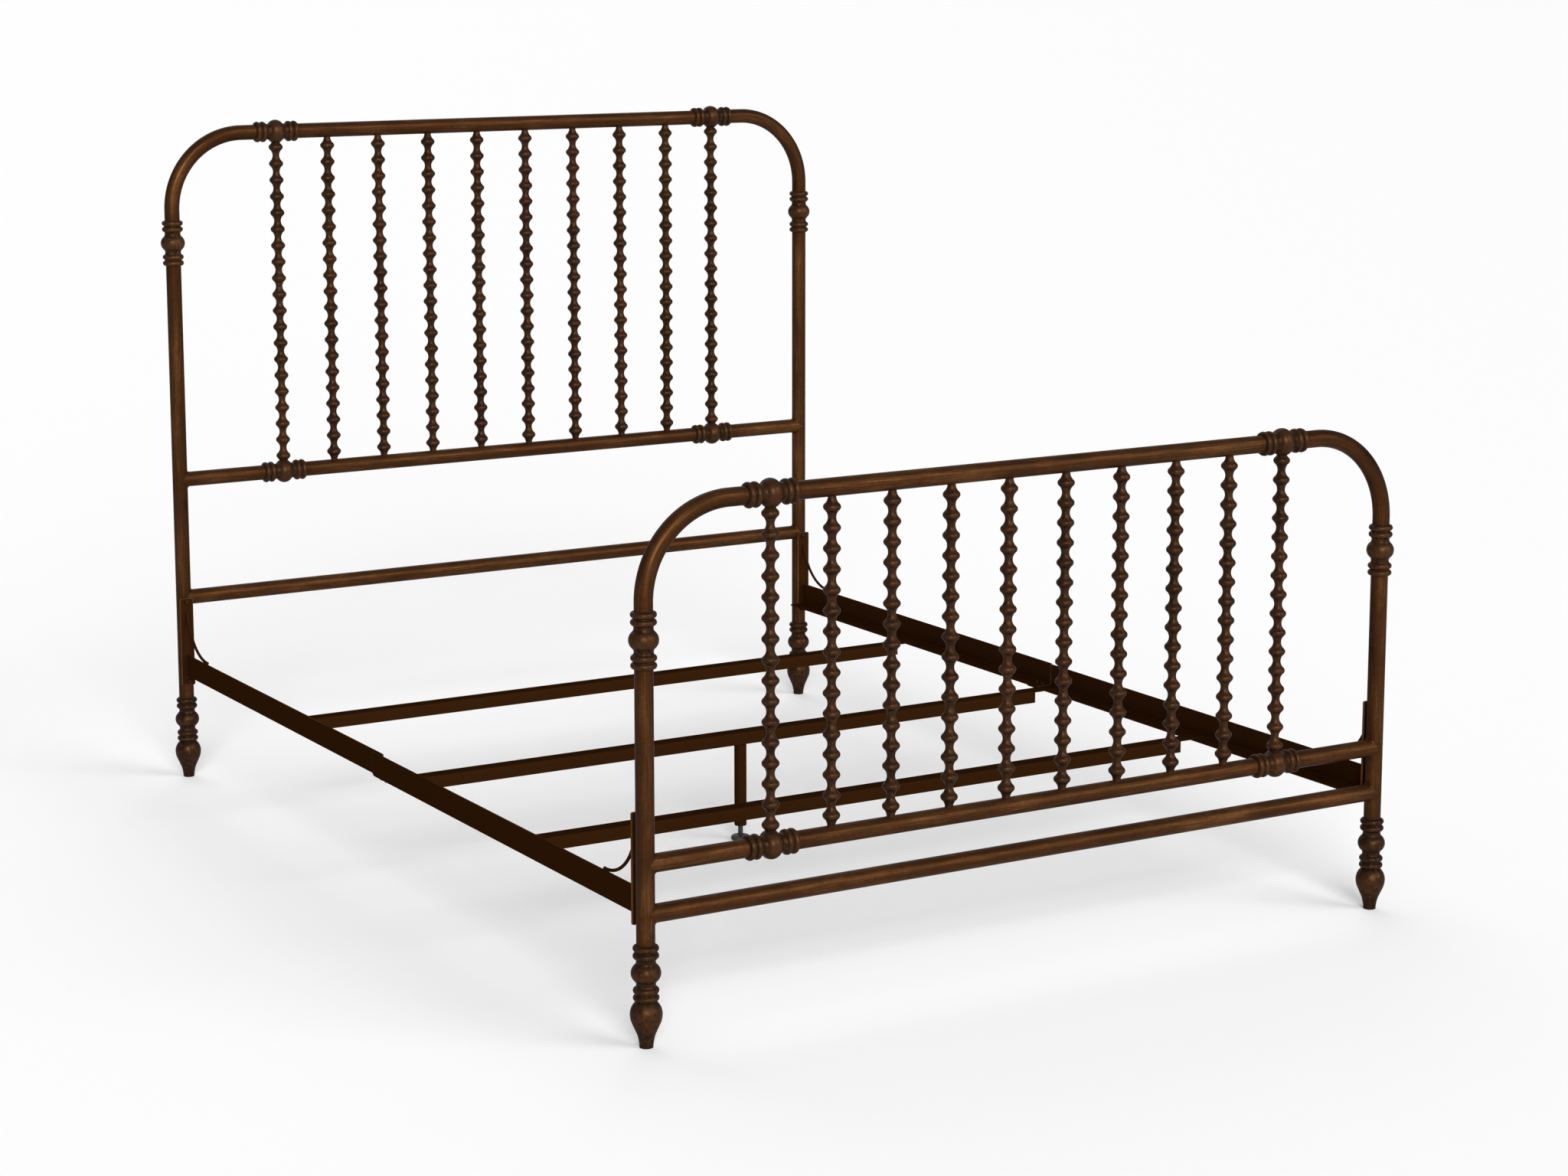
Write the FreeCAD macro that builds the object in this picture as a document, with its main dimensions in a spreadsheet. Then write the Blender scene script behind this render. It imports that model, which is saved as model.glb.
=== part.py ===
"""Metal spindle bed frame, queen size, as a parametric document.

X runs across the bed, Y along it with the headboard at +Y, Z up from the floor.
Lengths are millimetres.  Every size is a cell of the sheet, and every object is bound to the cells.
"""
import FreeCAD
import Part
import math
import os
import Sketcher

SIZES = {
    # Tubes of the headboard and the footboard
    "post_span": 1560.0,        # left post to right post, between centres
    "post_length": 2100.0,      # head posts to foot posts, between centres
    "tube_dia": 32.0,
    "tube_wall": 1.5,
    "bend_radius": 160.0,       # centre line of the corner bends
    "rail_run": 80.0,           # end of a bend to the outermost spindle
    "butt_offset": 20.0,        # outermost spindle to the joint between post tube and top rail
    "head_cross_rise": 221.8,   # top of the turned feet to the plain cross tube
    "foot_cross_rise": 50.8,
    "head_lower_rise": 259.0,   # plain cross tube to the lower spindle rail
    "foot_lower_rise": 86.0,
    "head_collar_drop": 70.0,   # start of a bend down to the middle of the post collar
    "foot_collar_drop": 62.0,
    "fit_gap": 0.1,             # clearance of every nested fit
    # Beaded spindles
    "spindles_per_end": 10,
    "head_beads": 20,
    "foot_beads": 16,
    "bead_pitch": 35.5,
    "bead_dia": 30.6,
    "waist_dia": 14.4,
    "rim_radius": 6.8,
    "tenon_length": 6.0,
    # Cast collars: two rings, a ball, two rings
    "ball_dia": 51.0,
    "ball_round": 18.0,         # radius of the ball's outline
    "ball_cove": 4.0,           # radius between ball and neck
    "ring_dia": 44.4,
    "ring_round": 5.5,
    "ring_cove": 3.0,           # radius between neck and inner ring
    "groove_round": 1.3,        # radius between the two rings
    "ring_offset": 29.7,        # middle of the ball to the inner ring
    "ring_pitch": 12.8,         # inner ring to outer ring
    "collar_lip": 0.6,
    "collar_wall": 0.6,
    # Turned feet: a vase under the same collar form
    "vase_dia": 55.0,
    "vase_height": 80.0,
    "base_dia": 23.6,
    "spigot_length": 10.0,
    # Side rails: angle bars in two lapped halves
    "rail_leg": 50.0,
    "rail_flange": 38.0,
    "rail_thick": 3.0,
    "rail_bend": 3.0,
    "rail_offset": 6.0,         # outer face of the rail, outward of the post's centre
    "lap_length": 40.0,
    "lap_corner": 7.0,          # rounding of the lap's free corner
    # End brackets: a bolted plate with a curved rod brace
    "plate_width": 29.4,
    "plate_offset": 1.3,        # middle of the plate, outward of the post's centre
    "plate_thick": 5.0,
    "plate_clear": 30.8,        # top of the turned foot to the plate's lower end
    "plate_drop": 14.0,         # plate's lower end to the underside of the rail
    "plate_margin": 32.4,       # top of the rod to the plate's upper end
    "bolt_inset": 7.5,
    "rod_dia": 6.0,
    "rod_sink": 1.2,            # depth of the rod's weld into the plate
    "brace_radius": 112.0,
    "brace_run": 4.0,           # length of the rod that lies straight on the rail
    # Bolts and nuts
    "bolt_dia": 8.0,
    "bolt_length": 20.0,
    "lap_bolt_length": 13.0,
    "bolt_head_dia": 12.0,
    "bolt_head_height": 4.4,
    "nut_dia": 15.0,            # across corners
    "nut_height": 6.5,
    # Cross slats, centre leg and levelling glide
    "slat_drop": 25.0,
    "slat_thick": 2.5,
    "slat_bend": 2.0,
    "slat_edge": 2.5,           # room beside the centre leg under a slat
    "slat_gap": 2.0,            # lap of the side rails to the middle slat
    "slat_end_cut": 60.0,
    "end_slat_reach": 525.0,    # middle of the bed to each end slat
    "leg_dia": 25.0,
    "leg_wall": 1.5,
    "leg_ground": 30.0,
    "plug_height": 20.0,
    "pad_dia": 38.0,
    "pad_height": 10.0,
    "stem_dia": 10.0,
    "stem_gap": 0.05,           # running fit of the stem
    "stem_length": 45.0,
}

# Shape of the foot's vase, from the floor up: share of the swell from base to belly, share of the height
VASE_COVE_SHARES = [(0.0, 0.04), (0.085, 0.16), (0.245, 0.285)]
VASE_TAPER_SHARES = (0.8, 0.53)
VASE_BELLY_SHARES = [(0.943, 0.62), (1.0, 0.72)]
VASE_SHOULDER_SHARES = (0.771, 0.894)
# A point on a spindle's cove, in shares of the cove's radius: a 5-12-13 direction
COVE_VIA_SHARES = (1 / 13, 5 / 13)
# Middle and end of a rod brace's arc: shares of its radius along the rail and up, for the angles turned
BRACE_SHARES = [(math.sin(turn), 1 - math.cos(turn)) for turn in (math.radians(40), math.radians(80))]
# Bolt head: share of the radius, share of the height
BOLT_DOME_SHARES = [(1.0, 0.25), (0.86, 0.75), (0.5, 1.0)]
# Levelling pad: share of the radius, share of the height
PAD_SHARES = [(0.93, 0.0), (0.98, 0.06), (1.0, 0.2), (1.0, 0.55), (0.86, 0.86), (0.45, 1.0)]
DIAGONAL_SHARE = math.sqrt(0.5)
FULL_TURN = 360
HALF_TURN = 180
QUARTER_TURN = 90

doc = FreeCAD.newDocument("bed_frame")
nodes = {}


class Size:
    """A length with its number now and the text that binds it to the sheet."""

    def __init__(self, number, text):
        self.number = number
        self.text = text

    def joined(self, sign, other, number):
        return Size(number, f"({self.text} {sign} {as_size(other).text})")

    def __add__(self, other):
        return self.joined("+", other, self.number + as_size(other).number)

    def __sub__(self, other):
        return self.joined("-", other, self.number - as_size(other).number)

    def __mul__(self, other):
        return self.joined("*", other, self.number * as_size(other).number)

    def __truediv__(self, other):
        return self.joined("/", other, self.number / as_size(other).number)

    def __rmul__(self, other):
        return as_size(other) * self

    def __neg__(self):
        return as_size(-1) * self

    def root(self):
        return Size(math.sqrt(self.number), f"sqrt({self.text})")


def as_size(value):
    return value if isinstance(value, Size) else Size(value, f"({value})")


def fill_sheet():
    """One row per size: its name and its number, with the name as alias."""
    sheet = doc.addObject("Spreadsheet::Sheet", "sizes")
    for row, (name, number) in enumerate(SIZES.items(), start=1):
        sheet.set(f"A{row}", name)
        sheet.set(f"B{row}", str(number))
        sheet.setAlias(f"B{row}", name)
    doc.recompute()


def size(name):
    return Size(SIZES[name], f"sizes.{name}")


def bind(obj, **values):
    """Set properties of an object and bind them to the sheet."""
    for name, value in values.items():
        setattr(obj, name, value.number)
        obj.setExpression(name, value.text)


def place(obj, x, y, z, axis=(0, 0, 1), angle=0):
    """Put an object at a bound place, turned about an axis by a fixed angle."""
    base = FreeCAD.Vector(x.number, y.number, z.number)
    obj.Placement = FreeCAD.Placement(base, FreeCAD.Rotation(FreeCAD.Vector(*axis), angle))
    for letter, value in zip("xyz", (x, y, z)):
        obj.setExpression(f"Placement.Base.{letter}", value.text)
    return obj


ZERO = Size(0, "0")


def origin_plane(body, role):
    return next(feature for feature in body.Origin.OriginFeatures if feature.Role == role)


def new_sketch(body, name, role):
    sketch = body.newObject("Sketcher::SketchObject", name)
    sketch.AttachmentSupport = [(origin_plane(body, role), "")]
    sketch.MapMode = "FlatFace"
    return sketch


def pin(sketch, geo, spot, point):
    """Hold one point of a sketch at bound distances from the origin."""
    for axis_line, kind, value in ((-2, "DistanceX", point[0]), (-1, "DistanceY", point[1])):
        if value is ZERO:
            sketch.addConstraint(Sketcher.Constraint("PointOnObject", geo, spot, axis_line))
        else:
            index = sketch.addConstraint(Sketcher.Constraint(kind, -1, 1, geo, spot, value.number))
            sketch.setExpression(f"Constraints[{index}]", value.text)


def arc_through(first, via, last):
    """The arc through three points, turning left, and whether it had to be drawn backwards."""
    ax, ay = first
    bx, by = via
    cx, cy = last
    turn = (bx - ax) * (cy - by) - (by - ay) * (cx - bx)
    double = 2 * (ax * (by - cy) + bx * (cy - ay) + cx * (ay - by))
    a2, b2, c2 = ax * ax + ay * ay, bx * bx + by * by, cx * cx + cy * cy
    x = (a2 * (by - cy) + b2 * (cy - ay) + c2 * (ay - by)) / double
    y = (a2 * (cx - bx) + b2 * (ax - cx) + c2 * (bx - ax)) / double
    circle = Part.Circle(FreeCAD.Vector(x, y, 0), FreeCAD.Vector(0, 0, 1), math.hypot(ax - x, ay - y))
    angles = [math.atan2(ay - y, ax - x), math.atan2(cy - y, cx - x)]
    backwards = turn < 0
    if backwards:
        angles.reverse()
    return Part.ArcOfCircle(circle, *angles), backwards


def draw(sketch, start, segments, closed=True):
    """An outline of lines (end,) and arcs (via, end), with every point pinned to the sheet."""
    corner, ends = start, []
    for segment in segments:
        here = (corner[0].number, corner[1].number)
        there = (segment[-1][0].number, segment[-1][1].number)
        if len(segment) == 1:
            line = Part.LineSegment(FreeCAD.Vector(*here), FreeCAD.Vector(*there))
            geo, backwards = sketch.addGeometry(line), False
        else:
            via = (segment[0][0].number, segment[0][1].number)
            arc, backwards = arc_through(here, via, there)
            geo = sketch.addGeometry(arc)
            mark = sketch.addGeometry(Part.Point(FreeCAD.Vector(*via)), True)
            pin(sketch, mark, 1, segment[0])
            sketch.addConstraint(Sketcher.Constraint("PointOnObject", mark, 1, geo))
        ends.append((geo, 2, 1) if backwards else (geo, 1, 2))
        pin(sketch, geo, ends[-1][1], corner)
        corner = segment[-1]
    for (geo, _, tail), (follower, head, _) in zip(ends, ends[1:] + ends[:1] if closed else ends[1:]):
        sketch.addConstraint(Sketcher.Constraint("Coincident", geo, tail, follower, head))
    if not closed:
        pin(sketch, ends[-1][0], ends[-1][2], corner)
    return sketch


def draw_circles(sketch, radii):
    for radius in radii:
        origin = FreeCAD.Vector(0, 0, 0)
        geo = sketch.addGeometry(Part.Circle(origin, FreeCAD.Vector(0, 0, 1), radius.number))
        sketch.addConstraint(Sketcher.Constraint("Coincident", geo, 3, -1, 1))
        index = sketch.addConstraint(Sketcher.Constraint("Radius", geo, radius.number))
        sketch.setExpression(f"Constraints[{index}]", radius.text)
    return sketch


def new_body(name):
    return doc.addObject("PartDesign::Body", name)


def turned(name, start, segments):
    """A body turned about its own Z axis."""
    body = new_body(name)
    sketch = draw(new_sketch(body, f"{name}_outline", "XZ_Plane"), start, segments)
    turn = body.newObject("PartDesign::Revolution", f"{name}_turn")
    turn.Profile = sketch
    turn.ReferenceAxis = (sketch, ["V_Axis"])
    turn.Angle = FULL_TURN
    return body


def swept(name, ring_role, radii, start, segments):
    """A round bar or tube swept along a path in its own XZ plane."""
    body = new_body(name)
    ring = draw_circles(new_sketch(body, f"{name}_section", ring_role), radii)
    path = draw(new_sketch(body, f"{name}_path", "XZ_Plane"), start, segments, closed=False)
    sweep = body.newObject("PartDesign::AdditivePipe", f"{name}_sweep")
    sweep.Profile = ring
    sweep.Spine = (path, [f"Edge{edge + 1}" for edge in range(len(segments))])
    return body


def padded(name, role, start, segments, length):
    """A bar of constant section."""
    body = new_body(name)
    pad = body.newObject("PartDesign::Pad", f"{name}_pad")
    pad.Profile = draw(new_sketch(body, f"{name}_section", role), start, segments)
    bind(pad, Length=length)
    return body


def cylinder(name, radius, height):
    obj = doc.addObject("Part::Cylinder", name)
    bind(obj, Radius=radius, Height=height)
    return obj


def cut(name, base, tools):
    """A piece with holes: one boolean for all of its tools."""
    tool = tools[0]
    if len(tools) > 1:
        tool = doc.addObject("Part::Compound", f"{name}_tools")
        tool.Links = tools
    obj = doc.addObject("Part::Cut", name)
    obj.Base = base
    obj.Tool = tool
    return obj


def keep(label, obj):
    """Name a finished piece as a node of the part."""
    obj.Label = label
    nodes[label] = obj
    return obj


fill_sheet()

# Sizes that several pieces share
fit_gap = size("fit_gap")
tube_radius = size("tube_dia") / 2
tube_bore = tube_radius - size("tube_wall")
half_span = size("post_span") / 2
half_length = size("post_length") / 2
neck_radius = tube_radius + fit_gap + size("collar_wall")
ball_out = size("ball_dia") / 2 - size("ball_round")
ring_out = size("ring_dia") / 2 - size("ring_round")
ring_gap = neck_radius - ring_out
ring_end = (size("ring_round") * size("ring_round") - ring_gap * ring_gap).root()
collar_half = size("ring_offset") + size("ring_pitch") + ring_end + size("collar_lip")
leg_top = size("vase_height") + collar_half * 2
outer_spindle = half_span - size("bend_radius") - size("rail_run")
butt = outer_spindle + size("butt_offset")
plate_bottom = leg_top + size("plate_clear")
rail_bottom = plate_bottom + size("plate_drop")
rail_top = rail_bottom + size("rail_leg")
brace_via, brace_end = [(size("brace_run") + size("brace_radius") * along, size("brace_radius") * up)
                        for along, up in BRACE_SHARES]
plate_top = rail_top + fit_gap + size("rod_dia") / 2 + brace_end[1] + size("plate_margin")
plate_back = half_length - tube_radius - fit_gap
plate_face = plate_back - size("plate_thick")
rail_face = half_span + size("rail_offset")
bolt_hole = size("bolt_dia") / 2 + fit_gap
bolt_heights = (plate_bottom + size("bolt_inset"), plate_top - size("bolt_inset"))
lap_bolts = (size("lap_length") / 4, size("lap_length") * 3 / 4)
lap_bolt_x = rail_face - size("rail_flange") / 2
outer_flange_top = rail_bottom + size("rail_thick")
inner_flange_top = outer_flange_top + size("rail_thick")
slat_width = size("slat_thick") + size("slat_bend") + size("leg_dia") + size("slat_edge")
middle_slat_near = -slat_width - size("slat_gap")
leg_y = (middle_slat_near + size("slat_thick") + size("slat_bend") + size("slat_edge") / 2
         + size("leg_dia") / 2)

SIDES = {"left": -1, "right": 1}
ENDS = {"head": 1, "foot": -1}


def cross_height(end):
    return leg_top + size(f"{end}_cross_rise")


def lower_height(end):
    return cross_height(end) + size(f"{end}_lower_rise")


def top_height(end):
    return lower_height(end) + size("tube_dia") + size("bead_pitch") * size(f"{end}_beads")


def spindle_places():
    count = SIZES["spindles_per_end"]
    gaps = size("spindles_per_end") - 1
    return [outer_spindle * (as_size(2 * index) / gaps - 1) for index in range(count)]


def neck_cove(out, bulge, cove):
    """A cove between the neck and a bulge: where it leaves the bulge, its middle and where it meets the neck.

    The bulge is a circle of that radius whose centre lies out from the axis; each point is a radius and a
    distance from the bulge's crest.
    """
    span, reach = neck_radius + cove - out, bulge + cove
    rise = (reach * reach - span * span).root()
    across, along = span / reach, rise / reach
    middle = cove / ((across + 1) * 2).root()
    edge = (out + bulge * across, bulge * along)
    via = (neck_radius + cove - middle * (across + 1), rise - middle * along)
    return edge, via, (neck_radius, rise)


def collar_outline(bottom):
    """Outer line of a collar from its lower end up: ring, ring, ball, ring, ring, with coves between."""
    ring, groove, half_pitch = size("ring_round"), size("groove_round"), size("ring_pitch") / 2
    inner, outer, crest = size("ring_offset"), size("ring_offset") + size("ring_pitch"), size("ring_dia") / 2
    ball_edge, ball_via, ball_foot = neck_cove(ball_out, size("ball_round"), size("ball_cove"))
    ring_edge, ring_via, ring_foot = neck_cove(ring_out, ring, size("ring_cove"))
    reach = ring + groove
    valley = (reach * reach - half_pitch * half_pitch).root()
    lip, drop = ring_out + valley * ring / reach, half_pitch * ring / reach
    spans = [(ball_via, ball_foot), ((neck_radius, inner - ring_foot[1]),),
             ((ring_via[0], inner - ring_via[1]), (ring_edge[0], inner - ring_edge[1])),
             ((crest, inner), (lip, inner + drop)),
             ((ring_out + valley - groove, inner + half_pitch), (lip, outer - drop)),
             ((crest, outer), (neck_radius, outer + ring_end)), ((neck_radius, collar_half),)]
    middle = bottom + collar_half

    def above(point):
        return (point[0], middle + point[1])

    def below(point):
        return (point[0], middle - point[1])

    corners = [ball_edge] + [span[-1] for span in spans]
    upper = [tuple(above(point) for point in span) for span in spans]
    lower = [tuple(below(point) for point in span[:-1] + (corner,)) for span, corner in zip(spans, corners)]
    return lower[::-1] + [((size("ball_dia") / 2, middle), above(ball_edge))] + upper


def make_collar(name):
    bore = tube_radius + fit_gap
    length = collar_half * 2
    outline = [((neck_radius, ZERO),)] + collar_outline(ZERO)
    return turned(name, (bore, ZERO), outline + [((bore, length),), ((bore, ZERO),)])


def make_turned_foot(label, side, end):
    """Vase, collar and a spigot that plugs the post's tube."""
    base = size("base_dia") / 2
    swell = size("vase_dia") / 2 - base
    spigot = tube_bore - fit_gap

    def vase(shares):
        return (base + swell * shares[0], size("vase_height") * shares[1])

    tip = leg_top + size("spigot_length")
    outline = [((base, ZERO),), (vase(VASE_COVE_SHARES[0]),),
               (vase(VASE_COVE_SHARES[1]), vase(VASE_COVE_SHARES[2])),
               (vase(VASE_TAPER_SHARES),),
               (vase(VASE_BELLY_SHARES[0]), vase(VASE_BELLY_SHARES[1])),
               (vase(VASE_SHOULDER_SHARES), (neck_radius, size("vase_height")))]
    outline += collar_outline(size("vase_height"))
    outline += [((spigot, leg_top),), ((spigot, tip),), ((ZERO, tip),), ((ZERO, ZERO),)]
    foot = turned(label, (ZERO, ZERO), outline)
    keep(label, place(foot, half_span * side, half_length * end, ZERO))


def make_post(label, side, end, end_name):
    """Post and corner bend in one tube, drilled for the two bracket bolts."""
    rise = top_height(end_name) - leg_top
    bend = size("bend_radius")
    knee = rise - bend
    via = (bend * (1 - DIAGONAL_SHARE), knee + bend * DIAGONAL_SHARE)
    path = [((ZERO, knee),), (via, (bend, rise)), ((half_span - butt, rise),)]
    tube = swept(f"{label}_tube", "XY_Plane", (tube_radius, tube_bore), (ZERO, ZERO), path)
    place(tube, half_span * side, half_length * end, leg_top, angle=0 if side < 0 else HALF_TURN)
    drills = []
    for height in bolt_heights:
        drill = cylinder(f"{label}_drill", bolt_hole, size("tube_dia"))
        turn = QUARTER_TURN * end
        drills.append(place(drill, half_span * side, half_length * end, height, (1, 0, 0), turn))
    keep(label, cut(label, tube, drills))


def level_tube(name, half, height, end):
    """A straight tube across the bed, as its outside and its bore."""
    pair = []
    for part, radius in (("outside", tube_radius), ("bore", tube_bore)):
        pair.append(cylinder(f"{name}_{part}", radius, half * 2))
        place(pair[-1], -half, half_length * end, height, (0, 1, 0), QUARTER_TURN)
    return pair


def spindle_drills(name, height, end, upward):
    """Holes for the spindles' tenons, from a rail's centre up or down through its wall."""
    drills = []
    for x in spindle_places():
        drill = cylinder(f"{name}_drill", size("waist_dia") / 2 + fit_gap, size("ball_dia"))
        drills.append(place(drill, x, half_length * end, height, (1, 0, 0), 0 if upward else HALF_TURN))
    return drills


def post_saddles(name, height, end):
    """The outsides of both posts, to shape the ends of a tube that is welded between them."""
    saddles = []
    for side in SIDES.values():
        saddle = cylinder(f"{name}_saddle", tube_radius + fit_gap, size("tube_dia") * 2)
        saddles.append(place(saddle, half_span * side, half_length * end, height - size("tube_dia")))
    return saddles


def make_rails(end_name, end):
    """Top rail, lower spindle rail and plain cross tube of one end."""
    top, lower, cross = top_height(end_name), lower_height(end_name), cross_height(end_name)
    label = f"{end_name}_top_rail"
    tube, bore = level_tube(label, butt, top, end)
    keep(label, cut(label, tube, [bore] + spindle_drills(label, top, end, upward=False)))
    label = f"{end_name}_lower_rail"
    tube, bore = level_tube(label, half_span, lower, end)
    drills = spindle_drills(label, lower, end, upward=True)
    keep(label, cut(label, tube, [bore] + drills + post_saddles(label, lower, end)))
    label = f"{end_name}_cross_tube"
    tube, bore = level_tube(label, half_span, cross, end)
    keep(label, cut(label, tube, [bore] + post_saddles(label, cross, end)))


def make_collars(end_name, end):
    """Collars on the posts, and on both rails where the outermost spindles meet them."""
    heights = {"top": top_height(end_name), "lower": lower_height(end_name)}
    knee = heights["top"] - size("bend_radius")
    y = half_length * end
    for side_name, side in SIDES.items():
        label = f"{end_name}_post_collar_{side_name}"
        middle = knee - size(f"{end_name}_collar_drop")
        keep(label, place(make_collar(label), half_span * side, y, middle - collar_half))
        for rail, height in heights.items():
            label = f"{end_name}_{rail}_collar_{side_name}"
            x = outer_spindle * side
            casting = make_collar(f"{label}_casting")
            place(casting, x - collar_half, y, height, (0, 1, 0), QUARTER_TURN)
            hole = neck_hole(f"{label}_hole")
            place(hole, x, y, height, (1, 0, 0), HALF_TURN if rail == "top" else 0)
            keep(label, cut(label, casting, [hole]))


def bead_reach():
    """Distance between the centres of a bead's rim and of the cove beside it."""
    depth = (size("bead_dia") - size("waist_dia")) / 2
    return (depth * depth + size("bead_pitch") * size("bead_pitch") / 4) / (depth * 2)


def neck_hole(name):
    """Hole in a collar's ball, clear of the spindle's cove where it comes out of the ball."""
    cove = bead_reach() - size("rim_radius")
    sunk = size("ball_dia") / 2 - tube_radius
    flare = cove - (cove * cove - sunk * sunk).root()
    return cylinder(name, size("waist_dia") / 2 + flare + fit_gap, size("ball_dia"))


def make_spindle(label, x, end_name, end):
    """A turned bead between two half coves, repeated up the spindle, with a tenon at each end."""
    waist, bead = size("waist_dia") / 2, size("bead_dia") / 2
    pitch, rim, reach = size("bead_pitch"), size("rim_radius"), bead_reach()
    cove = reach - rim
    edge = bead - rim * (bead - waist) / reach
    low = pitch / 2 - rim * pitch / 2 / reach
    along, out = cove * COVE_VIA_SHARES[1], waist + cove * COVE_VIA_SHARES[0]
    outline = [((waist, ZERO),), ((out, along), (edge, low)), ((bead, pitch / 2), (edge, pitch - low)),
               ((out, pitch - along), (waist, pitch)), ((ZERO, pitch),), ((ZERO, ZERO),)]
    body = turned(label, (ZERO, ZERO), outline)
    outline_sketch, bead_turn = body.Group
    beads = size(f"{end_name}_beads")
    row = body.newObject("PartDesign::LinearPattern", f"{label}_row")
    row.Originals = [bead_turn]
    row.Direction = (outline_sketch, ["V_Axis"])
    bind(row, Occurrences=beads, Length=pitch * (beads - 1))
    body.Tip = row
    tenon = size("tenon_length")
    for foot in (-tenon, pitch * beads):
        stub = body.newObject("PartDesign::AdditiveCylinder", f"{label}_tenon")
        bind(stub, Radius=waist, Height=tenon)
        place(stub, ZERO, ZERO, foot)
    keep(label, place(body, x, half_length * end, lower_height(end_name) + tube_radius))


def angle_outline(leg, flange, thick, bend):
    """An angle bar's section: flange along the first axis, leg along the second, bent at the origin."""
    heel = bend + thick
    outer, inner = heel * (1 - DIAGONAL_SHARE), heel - bend * DIAGONAL_SHARE
    leg_side = [((ZERO, leg),), ((thick, leg),), ((thick, heel),), ((inner, inner), (heel, thick))]
    flange_side = [((flange, thick),), ((flange, ZERO),), ((heel, ZERO),), ((outer, outer), (ZERO, heel))]
    return (ZERO, heel), leg_side + flange_side


def lap_corner(name, side):
    """What the rounding of a lap's lower free corner leaves out: a square less a quarter disc."""
    radius, depth = size("lap_corner"), size("rail_bend") + size("rail_thick")
    via = (radius * DIAGONAL_SHARE, radius * (1 - DIAGONAL_SHARE))
    outline = [((radius, ZERO),), ((radius, radius),), (via, (ZERO, ZERO))]
    waste = padded(name, "YZ_Plane", (ZERO, ZERO), outline, depth)
    x = -rail_face if side < 0 else rail_face - depth
    return place(waste, x, size("lap_length") - radius, rail_bottom)


def make_side_rails(side_name, side):
    """Two angle bars that lap near the middle of the bed: the head half nests inside the foot half."""
    thick, lap = size("rail_thick"), size("lap_length")
    start, outline = angle_outline(size("rail_leg"), size("rail_flange"), thick, size("rail_bend"))
    halves = {"head": (rail_face - thick, rail_bottom + thick, ZERO, plate_face),
              "foot": (rail_face, rail_bottom, -plate_face, lap)}
    for end_name, (face, bottom, near, far) in halves.items():
        label = f"{side_name}_rail_{end_name}_half"
        bar = padded(f"{label}_bar", "XZ_Plane", start, outline, far - near)
        place(bar, face * side, far if side < 0 else near, bottom, angle=0 if side < 0 else HALF_TURN)
        drills = []
        for y in lap_bolts:
            drill = cylinder(f"{label}_drill", bolt_hole, size("bolt_length"))
            drills.append(place(drill, lap_bolt_x * side, y, bottom - size("bolt_length") / 2))
        if end_name == "foot":
            drills.append(lap_corner(f"{label}_corner", side))
        keep(label, cut(label, bar, drills))


def make_bracket(label, side, end_name, end):
    """A plate against the post with a rod that curves down from it on to the rail."""
    nested = size("rail_thick") if end_name == "head" else ZERO
    plate = doc.addObject("Part::Box", f"{label}_plate")
    bind(plate, Length=size("plate_width"), Width=size("plate_thick"), Height=plate_top - plate_bottom)
    back = plate_face if end > 0 else -plate_back
    middle = (half_span + size("plate_offset")) * side
    place(plate, middle - size("plate_width") / 2, back, plate_bottom)
    rod = size("rod_dia") / 2
    path = [((size("brace_run"), ZERO),), (brace_via, brace_end)]
    brace = swept(f"{label}_brace", "YZ_Plane", (rod,), (ZERO, ZERO), path)
    x = (rail_face - nested - size("rail_thick") / 2) * side
    y = (plate_face - rod + size("rod_sink") - brace_end[0]) * end
    place(brace, x, y, rail_top + nested + fit_gap + rod, angle=QUARTER_TURN * end)
    weldment = doc.addObject("Part::Fuse", f"{label}_weldment")
    weldment.Base = plate
    weldment.Tool = brace
    drills = []
    for height in bolt_heights:
        drill = cylinder(f"{label}_drill", bolt_hole, size("tube_dia"))
        turn = QUARTER_TURN * end
        drills.append(place(drill, half_span * side, half_length * end, height, (1, 0, 0), turn))
    keep(label, cut(label, weldment, drills))


def make_bolt(name, length):
    """A dome-headed bolt, its point at the origin."""
    shank, head = size("bolt_dia") / 2, size("bolt_head_dia") / 2
    crown = size("bolt_head_height")
    rim, via, top = [(head * out, length + crown * up) for out, up in BOLT_DOME_SHARES]
    outline = [((shank, ZERO),), ((shank, length),), ((head, length),), (rim,), (via, top),
               ((ZERO, length + crown),), ((ZERO, ZERO),)]
    return turned(name, (ZERO, ZERO), outline)


def make_nut(name):
    block = doc.addObject("Part::Prism", f"{name}_block")
    block.Polygon = 6
    bind(block, Circumradius=size("nut_dia") / 2, Height=size("nut_height"))
    return cut(name, block, [cylinder(f"{name}_thread", bolt_hole, size("nut_height"))])


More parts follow.
